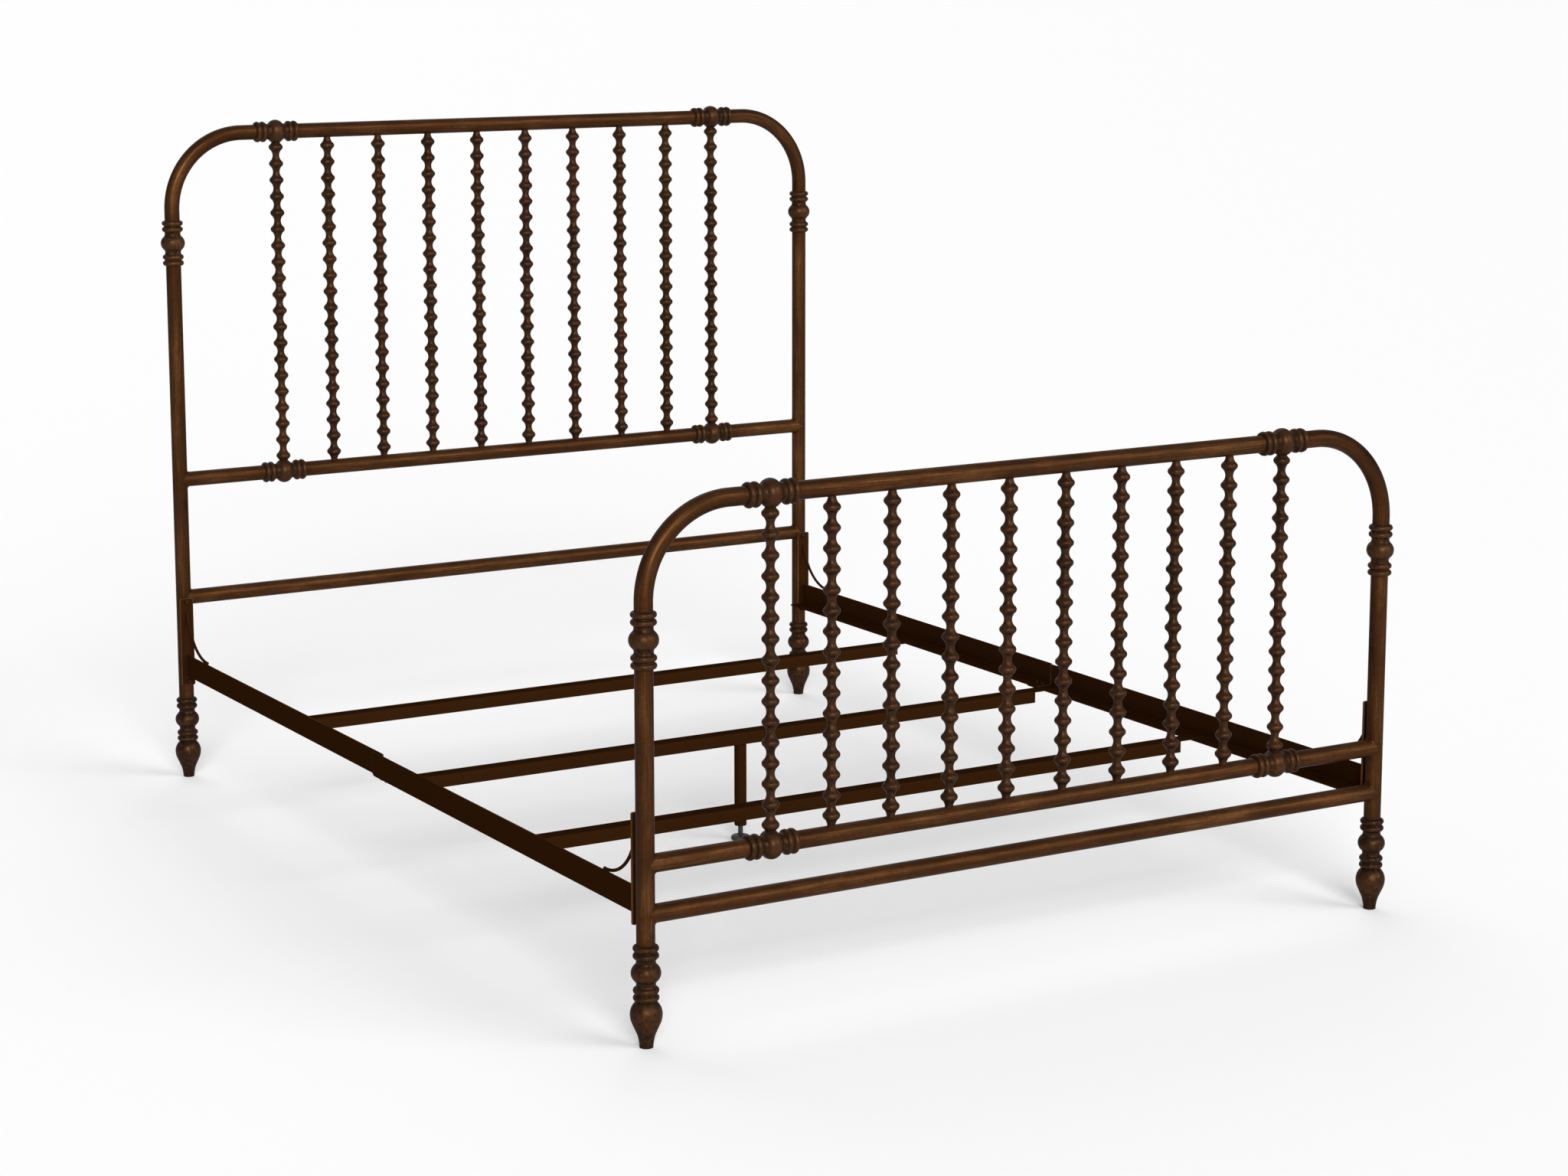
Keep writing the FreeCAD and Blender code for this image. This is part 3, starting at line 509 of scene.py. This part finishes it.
def beadLine():
    # one bead from waist to waist: cove, rim and cove, tangent where they meet
    s = spindle
    depth, half = s["bead"] - s["waist"], s["pitch"] / 2
    reach = (depth ** 2 + half ** 2) / (2 * depth)
    cove = reach - s["rim"]
    lean = math.asin(half / reach)
    low = arcLine((s["waist"] + cove, 0), cove, np.pi, np.pi - lean, s["coveSteps"])
    rim = arcLine((s["bead"] - s["rim"], half), s["rim"], -lean, lean, s["rimSteps"])
    high = arcLine((s["waist"] + cove, 2 * half), cove, np.pi + lean, np.pi, s["coveSteps"])
    return np.concatenate([low, rim, high])


def spindleProfile(beads):
    # the bead's line repeated up the spindle, with a tenon at each end
    line = beadLine()
    rows = line[None] + np.stack([np.zeros(beads), np.arange(beads) * spindle["pitch"]], 1)[:, None]
    w, top, tenon = spindle["waist"], beads * spindle["pitch"], spindle["tenon"]
    return np.concatenate([[[w, -tenon], [w, 0]], rows.reshape(-1, 2), [[w, top + tenon]]])


def beadShade(height):
    # each bead is rubbed along its rim, with a painted highlight above it, and painted shade lays a dark
    # crease under it
    s = spindle
    phase = height / s["pitch"] % 1 - 0.5
    # painted highlight just above each rim, partly rim wear; painted shade just under it
    rubbed, darkening = (np.exp(-((phase - s[spot]) / s["spread"]) ** 2) for spot in ("rubAndHighlightAt", "paintedShadeAt"))
    return s["crest"] + s["rubAndHighlightCrest"] * rubbed - s["darkCrest"] * darkening


def addSpindles(end, place):
    # the spindle's line goes round at even steps along the lower rail
    line = spindleProfile(place["beads"])
    crest = beadShade(line[:, 1])
    for number, x in enumerate(np.linspace(-bed["outerSpindle"], bed["outerSpindle"], bed["spindles"]), 1):
        node = f"{end}_spindle_{number:02d}"
        at = (x, bed["halfLength"] * place["sign"], place["lower"] + bed["tube"])
        addTurning(f"{node}_turning", line, spindle["cols"], at, (0, 0, 1), crest, "casting", [node])


# tubes: posts with their bends, rails and cross tubes
tube = {
    "cols": 56, "step": 0.012, "bendSteps": 44, "runSteps": 8, "endClear": 0.03, "saddleGap": 0.0001,
    "crest": 0.5, "darkCrest": 0.3, "darkening": 0.010, "levelPaintedLight": 0.1,
    # painted light along a post, a painted highlight band facing the camera and one behind, painted shade on
    # the sides
    # the camera sees: strength, turn, sway to both sides and its pace, and share left between
    "paintedLightBand": 0.32, "bandTurn": -0.52, "bandSway": 0.28, "bandPace": 5.3, "bandFloor": 0.35,
}


def jointShade(length, joints):
    # finish darkens towards the joints along a tube
    near = np.exp(-np.abs(length[:, None] - np.array(joints)[None, :]) / tube["darkening"]).max(1)
    return tube["crest"] - tube["darkCrest"] * near


def addPosts(end, place):
    # a ring carried up the post, round the bend and in along the top
    r, bend, y = bed["tube"], bed["bend"], bed["halfLength"] * place["sign"]
    knee = place["top"] - bend
    rise = np.arange(bed["legTop"], knee, tube["step"])
    turn = np.linspace(0, np.pi / 2, tube["bendSteps"])
    run = np.linspace(0, bed["halfSpan"] - bend - bed["butt"], tube["runSteps"])[1:]
    out = np.concatenate([0 * rise, bend * (1 - np.cos(turn)), bend + run])
    up = np.concatenate([rise, knee + bend * np.sin(turn), place["top"] + 0 * run])
    lean = np.concatenate([0 * rise, turn, 0 * run + np.pi / 2])
    length = np.concatenate([rise, knee + bend * turn, knee + bend * np.pi / 2 + run])
    angle = ringAngles(tube["cols"])
    ends = [place["collar"] - collarReach, place["collar"] + collarReach]
    shade = jointShade(length, [bed["legTop"], place["cross"], place["lower"], *ends,
                                length[-1] + bed["butt"] - bed["outerSpindle"] - collarReach])
    grain = stacked(r * np.cos(angle), r * np.sin(angle), length[:, None])
    # painted light: each post is painted lighter where it faces the camera and darker on the sides it shows
    sway = tube["bandTurn"] + tube["bandSway"] * np.sin(length * tube["bandPace"] + place["sign"])
    rubbed = np.cos(2 * (angle - sway[:, None])) + tube["bandFloor"]      # painted shade on the sides the camera sees; a painted highlight band in front, one behind
    crest = shade[:, None] - tube["paintedLightBand"] * rubbed
    inward = out[:, None] + r * np.cos(angle) * np.cos(lean)[:, None]
    height = up[:, None] - r * np.cos(angle) * np.sin(lean)[:, None]
    faces = cappedFaces(len(length), tube["cols"])
    for side, sign in bed["sides"].items():
        node = f"{end}_post_{side}"
        points = stacked((inward - bed["halfSpan"]) * -sign, y - sign * r * np.sin(angle), height)
        addPiece(f"{node}_tube", points, faces, grain, crest, "tube", [node])


def addLevelTube(node, y, z, half, saddled, joints):
    # a straight tube; where it meets a post its end ring follows the post's round side
    r, clear = bed["tube"], tube["endClear"]
    angle = ringAngles(tube["cols"])
    x = np.concatenate([[-half], np.arange(-half + clear, half - clear, tube["step"]), [half]])
    places = np.repeat(x[:, None], tube["cols"], 1)
    if saddled:
        fish = r * np.abs(np.sin(angle)) + tube["saddleGap"]
        places[0] += fish
        places[-1] -= fish
    points = stacked(places, y + r * np.cos(angle), z + r * np.sin(angle))
    grain = stacked(r * np.cos(angle), r * np.sin(angle), places)
    # painted light: the level tubes are painted lighter than the posts
    shade = jointShade(x, joints) + tube["levelPaintedLight"]
    addPiece(f"{node}_tube", points, cappedFaces(len(x), tube["cols"]), grain, shade[:, None], "tube", [node])


weld = {
    "reach": 0.0060, "least": 0.0002, "sink": 0.00015, "bury": 0.0015, "steepest": 0.05,
    "rows": 120, "cols": 10, "crest": {"lower": 0.3, "cross": 0.12},
}


def addWeld(name, x, y, z, sign, crest):
    # a weld dressed to a hollow: from the tube's side to the post's side, drawn in towards the saddle line
    r, w = bed["tube"], weld
    around = ringAngles(w["rows"])
    cosine, sine = np.cos(around), np.abs(np.sin(around))
    room = r * (1 / np.maximum(np.abs(cosine), w["steepest"]) - 1)      # of the post, beyond the tube's side
    reach = np.minimum(w["reach"] * sine, room) + w["least"]

    def beside(radius, inset):
        return np.stack([x - sign * inset, y + radius * cosine, z + radius * np.sin(around)], 1)[:, None]

    onPost = np.sqrt(np.maximum(r ** 2 - ((r + reach) * cosine) ** 2, 0))
    first, last = beside(r - w["sink"], r * sine + reach), beside(r + reach, onPost - w["sink"])
    saddle, deep = beside(r, r * sine), beside(r - w["bury"], r * sine - w["bury"])
    t = np.linspace(0, 1, w["cols"])[None, :, None]
    hollow = (1 - t) ** 2 * first + 2 * t * (1 - t) * saddle + t ** 2 * last
    points = np.concatenate([hollow, deep], 1)
    faces = gridFaces(w["rows"], w["cols"] + 1, closed=True)
    addPiece(name, points, faces, points, np.array(crest), "tube", mend=True)


def addLevelTubes(end, place):
    # top rail between the post tubes, lower rail and cross tube between the posts, and their welds
    y = bed["halfLength"] * place["sign"]
    collarEnds = [s * (bed["outerSpindle"] + k * collarReach) for s in (-1, 1) for k in (-1, 1)]
    posts = [-bed["halfSpan"] + bed["tube"], bed["halfSpan"] - bed["tube"]]
    addLevelTube(f"{end}_top_rail", y, place["top"], bed["butt"], False, collarEnds)
    addLevelTube(f"{end}_lower_rail", y, place["lower"], bed["halfSpan"], True, collarEnds + posts)
    addLevelTube(f"{end}_cross_tube", y, place["cross"], bed["halfSpan"], True, posts)
    for rail, crest in weld["crest"].items():
        for side, sign in bed["sides"].items():
            addWeld(f"{end}_{rail}_weld_{side}", bed["halfSpan"] * sign, y, place[rail], sign, crest)


for endName, endPlace in bed["ends"].items():
    addTurnedFeet(endName, endPlace)
    addPosts(endName, endPlace)
    addLevelTubes(endName, endPlace)
    addCollars(endName, endPlace)
    addSpindles(endName, endPlace)
    print(endName, "end dressed,", pieceCount, "pieces so far")


# side rails and slats: angle bars
angleBar = {
    "leg": 0.050, "flange": 0.038, "thick": 0.003, "bend": 0.003, "edge": 0.0006, "bottom": 0.222,
    "face": 0.786, "lap": 0.040, "cornerCut": 0.007, "stations": 60, "sharp": 25,
    # shares of the length: painted lighter at both ends, worn paint with a painted highlight line, and clear
    # of the even stations
    "worn": 0.0015, "endClear": 0.01, "crest": 0.15, "edgeWearAndHighlight": 0.5, "endWearAndHighlight": 0.9,
}


def angleOutline(leg, flange, thick, bend, edge):
    # flange along the first axis, leg along the second, bent at the origin
    corners = [(0, 0), (flange, 0), (flange, thick), (thick, thick), (thick, leg), (0, leg)]
    return roundedOutline(corners, [bend + thick, edge, edge, bend, edge, edge])


def addSideRails(side, sign):
    # the angle's outline carried from the plate to the lap, where the lower corner of the free end is rounded
    a, cut, clear = angleBar, angleBar["cornerCut"], angleBar["endClear"]
    outline = angleOutline(a["leg"], a["flange"], a["thick"], a["bend"], a["edge"])
    even = np.linspace(clear, 1 - clear, a["stations"])
    spans = np.concatenate([[0, a["worn"]], even, [1 - a["worn"], 1]])[:, None]
    # the upper edge and both ends are painted lighter, as thinned paint and a painted highlight
    upperEdge = outline[:, 1] > a["leg"] - a["edge"]
    crest = np.repeat((a["crest"] + a["edgeWearAndHighlight"] * upperEdge)[None], len(spans), 0)
    crest[[0, -1]] = a["endWearAndHighlight"]
    onLeg = outline[:, 0] < a["thick"] + a["bend"] + tiny
    drop = np.clip(cut - outline[:, 1], 0, cut) * onLeg
    rounded = cut - np.sqrt(cut ** 2 - drop ** 2)
    faces = cappedFaces(len(spans), len(outline))
    halves = {"foot": (a["face"], a["bottom"], -bed["plateFace"], a["lap"] - rounded),
              "head": (a["face"] - a["thick"], a["bottom"] + a["thick"], rounded, bed["plateFace"])}
    for half, (face, bottom, near, far) in halves.items():
        node = f"{side}_rail_{half}_half"
        along = near + (far - near) * spans
        points = stacked(sign * (face - outline[:, 0]), along, bottom + outline[:, 1])
        grain = stacked(outline[:, 0], outline[:, 1], along)
        addPiece(f"{node}_bar", points, faces, grain, crest, "rail", [node], sharp=a["sharp"], mend=True)


slat = {"width": 0.032, "drop": 0.025, "thick": 0.0025, "bend": 0.002, "edge": 0.0005, "half": 0.7769,
        "endCut": 0.060, "reach": 0.525, "middleNear": -0.034, "stations": 60, "crest": 0.2}


def slatShape(near, seat):
    # an angle bar along X; towards its ends the hanging leg is cut away, so its outline flattens there
    s = slat
    outline = angleOutline(s["width"], s["drop"], s["thick"], s["bend"], s["edge"])
    flat = outline.copy()
    flat[:, 0] = np.minimum(flat[:, 0], s["thick"])
    inner = s["half"] - s["endCut"]
    x = np.concatenate([[-s["half"], -inner], np.linspace(-inner, inner, s["stations"]), [inner, s["half"]]])
    full = np.abs(x) <= inner + tiny
    full[[1, -2]] = False
    section = np.where(full[:, None, None], outline[None], flat[None])
    points = stacked(x[:, None], near + section[..., 1], seat + s["thick"] - section[..., 0])
    return points.reshape(-1, 3), cappedFaces(len(x), len(outline))


def addSlats():
    # two bars in one piece towards the ends, seated in outer and inner rail halves, and one beside the laps
    outerSeat = angleBar["bottom"] + angleBar["thick"]
    innerSeat = outerSeat + angleBar["thick"]
    head, faces = slatShape(slat["reach"] - slat["width"] / 2, innerSeat)
    foot, _ = slatShape(-slat["reach"] - slat["width"] / 2, outerSeat)
    middle, _ = slatShape(slat["middleNear"], outerSeat)
    pair = faces + [[corner + len(head) for corner in face] for face in faces]
    bars = {"end_slats_bars": (np.concatenate([head, foot]), pair, "end_slats"),
            "middle_slat_bar": (middle, faces, "middle_slat")}
    for name, (points, shape, node) in bars.items():
        addPiece(name, points, shape, points[:, [1, 2, 0]], np.array(slat["crest"]), "rail", [node],
                 sharp=angleBar["sharp"], mend=True)


for sideName, sideSign in bed["sides"].items():
    addSideRails(sideName, sideSign)
addSlats()
print("rails and slats laid,", pieceCount, "pieces so far")


# brackets, bolts and nuts
bracket = {
    "width": 0.0294, "offset": 0.0013, "thick": 0.005, "bottom": 0.208, "top": 0.40005, "corner": 0.003,
    "chamfer": 0.0007, "worn": 0.0022, "plateCrest": [0.2, 0.85, 1.08, 1.08, 0.85, 0.2], "sharp": 30,
    "rod": 0.003, "sink": 0.0012, "bend": 0.112, "turn": 80, "run": 0.004, "gap": 0.0001, "cols": 20,
    "runSteps": 4, "bendSteps": 34, "rodCrest": 0.3,
    "cropped": [0.62, 0.96, 1.08, 1.05], "tip": [0.97, 0.7],              # shares of the rod's radius
    # runs of weld: the stations each takes and its drop, then its thickness in shares of the rod's radius
    "welds": {"rail": (slice(1, 9), -0.0016), "plate": (slice(-9, None), -0.0012)},
    "weldThin": 0.35, "weldFat": 0.8, "ripple": 0.08, "ripples": 26, "weldFlat": 0.75, "weldCols": 14,
    "weldCrest": 0.1,
}


def addPlate(node, toward, sign):
    # a rounded outline carried through the plate's thickness, drawn in at both faces by a small chamfer
    b = bracket
    low, high, half = b["bottom"], b["top"], b["width"] / 2

    def outline(inset):
        w = half - inset
        corners = [(-w, low + inset), (w, low + inset), (w, high - inset), (-w, high - inset)]
        return roundedOutline(corners, [b["corner"] - inset] * 4)

    insets = [b["worn"], b["chamfer"], 0, 0, b["chamfer"], b["worn"]]
    rings = np.stack([outline(inset) for inset in insets])
    depth = np.array([0, 0, b["chamfer"], b["thick"] - b["chamfer"], b["thick"], b["thick"]])
    points = stacked(rings[..., 0] + (bed["halfSpan"] + b["offset"]) * sign,
                     ((bed["plateFace"] + depth) * toward)[:, None], rings[..., 1])
    crest = np.array(b["plateCrest"])[:, None]
    addPiece(f"{node}_plate", points, cappedFaces(*rings.shape[:2]), points, crest, "rail", [node],
             sharp=b["sharp"], mend=True)


def rodPath(place, sign, end):
    # centre line of the rod: straight on the rail, then an arc up to the plate; and the lean of each station
    b = bracket
    nested = angleBar["thick"] if end == "head" else 0.0
    turn = math.radians(b["turn"])
    start = bed["plateFace"] - b["rod"] + b["sink"] - b["bend"] * math.sin(turn) - b["run"]
    base = angleBar["bottom"] + angleBar["leg"] + nested + b["gap"] + b["rod"]
    arc = np.linspace(0, turn, b["bendSteps"])
    lean = np.concatenate([np.zeros(b["runSteps"]), arc])
    straight = np.linspace(0, b["run"], b["runSteps"] + 1)[:-1]
    along = np.concatenate([straight, b["run"] + b["bend"] * np.sin(arc)])
    up = b["bend"] * (1 - np.cos(lean))
    x = np.full(len(lean), (angleBar["face"] - nested - angleBar["thick"] / 2) * sign)
    return np.stack([x, (start + along) * place["sign"], base + up], 1), lean


def carriedRing(path, lean, size, toward, cols, flat=1.0):
    # a ring of each station's size carried along the path, square to it
    angle = ringAngles(cols)
    across, rise = size[:, None] * np.sin(angle), size[:, None] * flat * np.cos(angle)
    moves = np.stack([across, -rise * np.sin(lean)[:, None] * toward, rise * np.cos(lean)[:, None]], -1)
    return path[:, None] + moves


def addRod(node, end, place, sign):
    # the rod, a little swollen where it was cropped, with a run of weld at the rail and one at the plate
    b, toward = bracket, place["sign"]
    path, lean = rodPath(place, sign, end)
    size = np.full(len(path), b["rod"])
    size[:len(b["cropped"])] *= b["cropped"]
    size[-len(b["tip"]):] *= b["tip"]
    rod = carriedRing(path, lean, size, toward, b["cols"])
    addPiece(f"{node}_rod", rod, cappedFaces(len(path), b["cols"]), rod, np.array(b["rodCrest"]), "rail",
             [node], sharp=b["sharp"], mend=True)
    for spot, (span, drop) in b["welds"].items():
        line, tilt = path[span], lean[span]
        share = np.linspace(0, 1, len(line))
        fat = b["rod"] * (b["weldThin"] + b["weldFat"] * np.sin(np.pi * share) ** 0.5)
        fat = fat * (1 + b["ripple"] * np.sin(share * b["ripples"]))
        drops = drop * np.stack([0 * tilt, -np.sin(tilt) * toward, np.cos(tilt)], 1)
        bead = carriedRing(line + drops, tilt, fat, toward, b["weldCols"], b["weldFlat"])
        addPiece(f"{node}_{spot}_weld", bead, cappedFaces(len(line), b["weldCols"]), bead,
                 np.array(b["weldCrest"]), "rail", mend=True)


fastener = {
    "shank": 0.004, "length": 0.020, "lapLength": 0.013, "head": 0.006, "crown": 0.0044, "cols": 28,
    "inset": 0.0075, "socket": 0.0024, "lapPlaces": (0.010, 0.030), "lapX": 0.767, "sharp": 30,
    # share of the head's radius, share of its height; then the same of the recess
    "dome": [(1.0, 0.0), (1.0, 0.22), (0.96, 0.45), (0.86, 0.7), (0.7, 0.89), (0.5, 1.0)], "domeSteps": 4,
    "recess": [(1, 1), (0.9, 0.55)],
    "nut": 0.0075, "nutHeight": 0.0065, "nutSeat": 0.0123, "nutCorner": 0.0006, "nutSteps": 4,
    # share of the nut's radius, share of its height
    "nutLine": [(0.88, 0), (1.0, 0.12), (1.0, 0.88), (0.88, 1.0)],
    "nutCrest": 0.5, "grainStep": 0.13,
}


def smoothLine(points, count):
    # a curve through the points: Catmull-Rom spans, evenly divided
    ends = np.concatenate([[2 * points[0] - points[1]], points, [2 * points[-1] - points[-2]]])
    t = np.linspace(0, 1, count, endpoint=False)[None, :, None]
    p0, p1, p2, p3 = (ends[i:len(ends) - 3 + i][:, None] for i in range(4))
    spans = 0.5 * (2 * p1 + (p2 - p0) * t + (2 * p0 - 5 * p1 + 4 * p2 - p3) * t ** 2
                   + (3 * p1 - p0 - 3 * p2 + p3) * t ** 3)
    return np.concatenate([spans.reshape(-1, 2), points[-1:]])


def boltLine(length):
    # shank, underside of the head, dome, and a shallow round recess in its crown
    f = fastener
    dome = smoothLine(np.array(f["dome"]), f["domeSteps"]) * [f["head"], f["crown"]]
    recess = np.array(f["recess"]) * [f["socket"], f["crown"]]
    shank = np.array([[f["shank"], -length], [f["shank"], 0.0]])
    return np.concatenate([shank, dome, recess]) + [0, length]


def nutShape():
    # a hexagon carried through its height, drawn in at both faces
    f = fastener
    angle = ringAngles(6)
    hexagon = np.stack([np.cos(angle), np.sin(angle)], 1)
    rings = np.stack([roundedOutline(hexagon * f["nut"] * share, [f["nutCorner"]] * 6, f["nutSteps"])
                      for share, _ in f["nutLine"]])
    heights = np.array([rise for _, rise in f["nutLine"]]) * f["nutHeight"]
    return stacked(rings[..., 0], rings[..., 1], heights[:, None])


def addCopies(name, sets, slot, node):
    # one mesh for all the like pieces: each set is a shape, how proud its points stand, and where it is put
    points, grain, proud, faces, count = [], [], [], [], 0
    for local, crest, spots in sets:
        shape = cappedFaces(*local.shape[:2])
        for at, along in spots:
            points.append(stood(local, at, along).reshape(-1, 3))
            grain.append(local.reshape(-1, 3) + fastener["grainStep"] * len(grain))
            proud.append(np.broadcast_to(crest, local.shape[:2]).ravel())
            faces += [[corner + count for corner in face] for face in shape]
            count += len(points[-1])
    addPiece(name, np.concatenate(points), faces, np.concatenate(grain), np.concatenate(proud), slot, [node],
             sharp=fastener["sharp"], mend=True)


def addFasteners():
    # two bolts through each plate and post, two through each lap's flanges, and a nut on every one
    f = fastener
    bolts, lapBolts, nuts = [], [], []
    for sign in bed["sides"].values():
        for place in bed["ends"].values():
            toward = place["sign"]
            along = (0, -toward, 0)
            for z in (bracket["bottom"] + f["inset"], bracket["top"] - f["inset"]):
                x = bed["halfSpan"] * sign
                bolts.append(((x, (bed["plateFace"] + f["length"]) * toward, z), along))
                seat = (bed["halfLength"] - f["nutSeat"] + f["nutHeight"]) * toward
                nuts.append(((x, seat, z), along))
        flange = angleBar["bottom"] + 2 * angleBar["thick"]
        for y in f["lapPlaces"]:
            lapBolts.append(((f["lapX"] * sign, y, flange - f["lapLength"]), (0, 0, 1)))
            nuts.append(((f["lapX"] * sign, y, angleBar["bottom"] - f["nutHeight"]), (0, 0, 1)))
    sets = []
    for length, spots in ((f["length"], bolts), (f["lapLength"], lapBolts)):
        line = boltLine(length)
        sets.append((lathe(line, f["cols"]), np.clip((line[:, 1:] - length) / f["crown"], 0, 1), spots))
    addCopies("rail_bolts_heads", sets, "fastener", "rail_bolts")
    addCopies("rail_nuts_hexes", [(nutShape(), f["nutCrest"], nuts)], "fastener", "rail_nuts")


for endName, endPlace in bed["ends"].items():
    for sideName, sideSign in bed["sides"].items():
        bracketNode = f"{endName}_bracket_{sideName}"
        addPlate(bracketNode, endPlace["sign"], sideSign)
        addRod(bracketNode, endName, endPlace, sideSign)
addFasteners()
print("brackets and fasteners on,", pieceCount, "pieces so far")


# centre leg and levelling glide
centre = {
    "y": -0.01575, "top": 0.225, "bottom": 0.030, "plug": 0.050, "radius": 0.0125, "inside": 0.011,
    "bore": 0.00505, "edge": 0.0008, "pad": 0.019, "padHeight": 0.010, "stem": 0.005, "stemTop": 0.055,
    "cols": 40, "padSteps": 5, "legCrest": 0.3, "padCrest": 0.4,
    # share of the pad's radius, share of its height
    "padLine": [(0.93, 0.0), (0.98, 0.06), (1.0, 0.2), (1.0, 0.55), (0.96, 0.73), (0.86, 0.86), (0.66, 0.95),
                (0.45, 1.0)],
}


def addCentreLeg():
    # a closed loop of a profile, tube wall, plug and bore, goes round; so does the line of pad and stem
    c, e, at = centre, centre["edge"], (0, centre["y"], 0)
    line = np.array([[c["radius"], c["bottom"] + e], [c["radius"], c["top"]], [c["inside"], c["top"]],
                     [c["inside"], c["plug"]], [c["bore"], c["plug"]], [c["bore"], c["bottom"]],
                     [c["radius"] - e, c["bottom"]]])
    addTurning("centre_leg_tube", line, c["cols"], at, (0, 0, 1), np.full(len(line), c["legCrest"]), "rail",
               ["centre_leg"], loop=True)
    pad = smoothLine(np.array(c["padLine"]), c["padSteps"]) * [c["pad"], c["padHeight"]]
    stem = np.array([[c["stem"], c["padHeight"]], [c["stem"], c["stemTop"] - e],
                     [c["stem"] - e, c["stemTop"]]])
    glide = np.concatenate([pad, stem])
    addTurning("levelling_glide_pad", glide, c["cols"], at, (0, 0, 1), np.full(len(glide), c["padCrest"]),
               "glide", ["levelling_glide"], body="glide")


addCentreLeg()
print("centre leg and glide on,", pieceCount, "pieces in all")


# floor, light and camera
studio = {
    "floor": 600.0, "floorTone": 0.96, "floorRoughness": 0.85, "floorSpecular": 0.2, "world": 0.29,
    # where each soft lamp stands, its strength and its spread in degrees
    "suns": [((0.50, -0.76, 0.42), 1.55, 40),
             ((-0.34, -0.86, 0.40), 2.96, 30),
             ((0.15, 0.80, 0.58), 0.87, 60)],
}


def addFloor():
    # one pale square
    corners = np.array([[-1, -1, 0], [1, -1, 0], [1, 1, 0], [-1, 1, 0]]) * studio["floor"] / 2
    mesh = bpy.data.meshes.new("studio_floor")
    mesh.from_pydata(corners.tolist(), [], [(0, 1, 2, 3)])
    floor = bpy.data.objects.new("studio_floor", mesh)
    bpy.context.scene.collection.objects.link(floor)
    t = studio["floorTone"]
    pale = Paint("pale floor").shade(Base_Color=(t, t, t, 1), Roughness=studio["floorRoughness"],
                                     Specular_IOR_Level=studio["floorSpecular"])
    mesh.materials.append(pale)


def addLights():
    # an even white sky and the soft lamps
    world = bpy.data.worlds.new("studio")
    bpy.context.scene.world = world
    world.use_nodes = True
    sky = world.node_tree.nodes["Background"]
    sky.inputs["Color"].default_value = (1, 1, 1, 1)
    sky.inputs["Strength"].default_value = studio["world"]
    for number, (toward, strength, spread) in enumerate(studio["suns"], 1):
        lamp = bpy.data.lights.new(f"softbox_{number}", "SUN")
        lamp.energy = strength
        lamp.angle = math.radians(spread)
        holder = bpy.data.objects.new(f"softbox_{number}", lamp)
        holder.rotation_mode = "QUATERNION"
        holder.rotation_quaternion = Vector(toward).to_track_quat("Z", "Y")
        bpy.context.scene.collection.objects.link(holder)


# angles in degrees, focal length in pixels of the picture
view = {"place": (-3.3246, -5.7615, 1.8421), "yaw": 30.821, "pitch": 9.641, "focal": 4383.7, "shift": -0.06,
        "imageWidth": 2048, "sensor": 36.0}


def addCamera():
    # looks along yaw and pitch from its place
    lens = bpy.data.cameras.new("camera")
    lens.sensor_width = view["sensor"]
    lens.lens = view["focal"] / view["imageWidth"] * view["sensor"]
    lens.shift_y = view["shift"]
    camera = bpy.data.objects.new("camera", lens)
    yaw, pitch = math.radians(view["yaw"]), math.radians(view["pitch"])
    ahead = Vector((math.sin(yaw) * math.cos(pitch), math.cos(yaw) * math.cos(pitch), -math.sin(pitch)))
    camera.location = view["place"]
    camera.rotation_mode = "QUATERNION"
    camera.rotation_quaternion = ahead.to_track_quat("-Z", "Y")
    bpy.context.scene.collection.objects.link(camera)
    bpy.context.scene.camera = camera


addFloor()
addLights()
addCamera()
bpy.context.scene.view_settings.view_transform = "Standard"
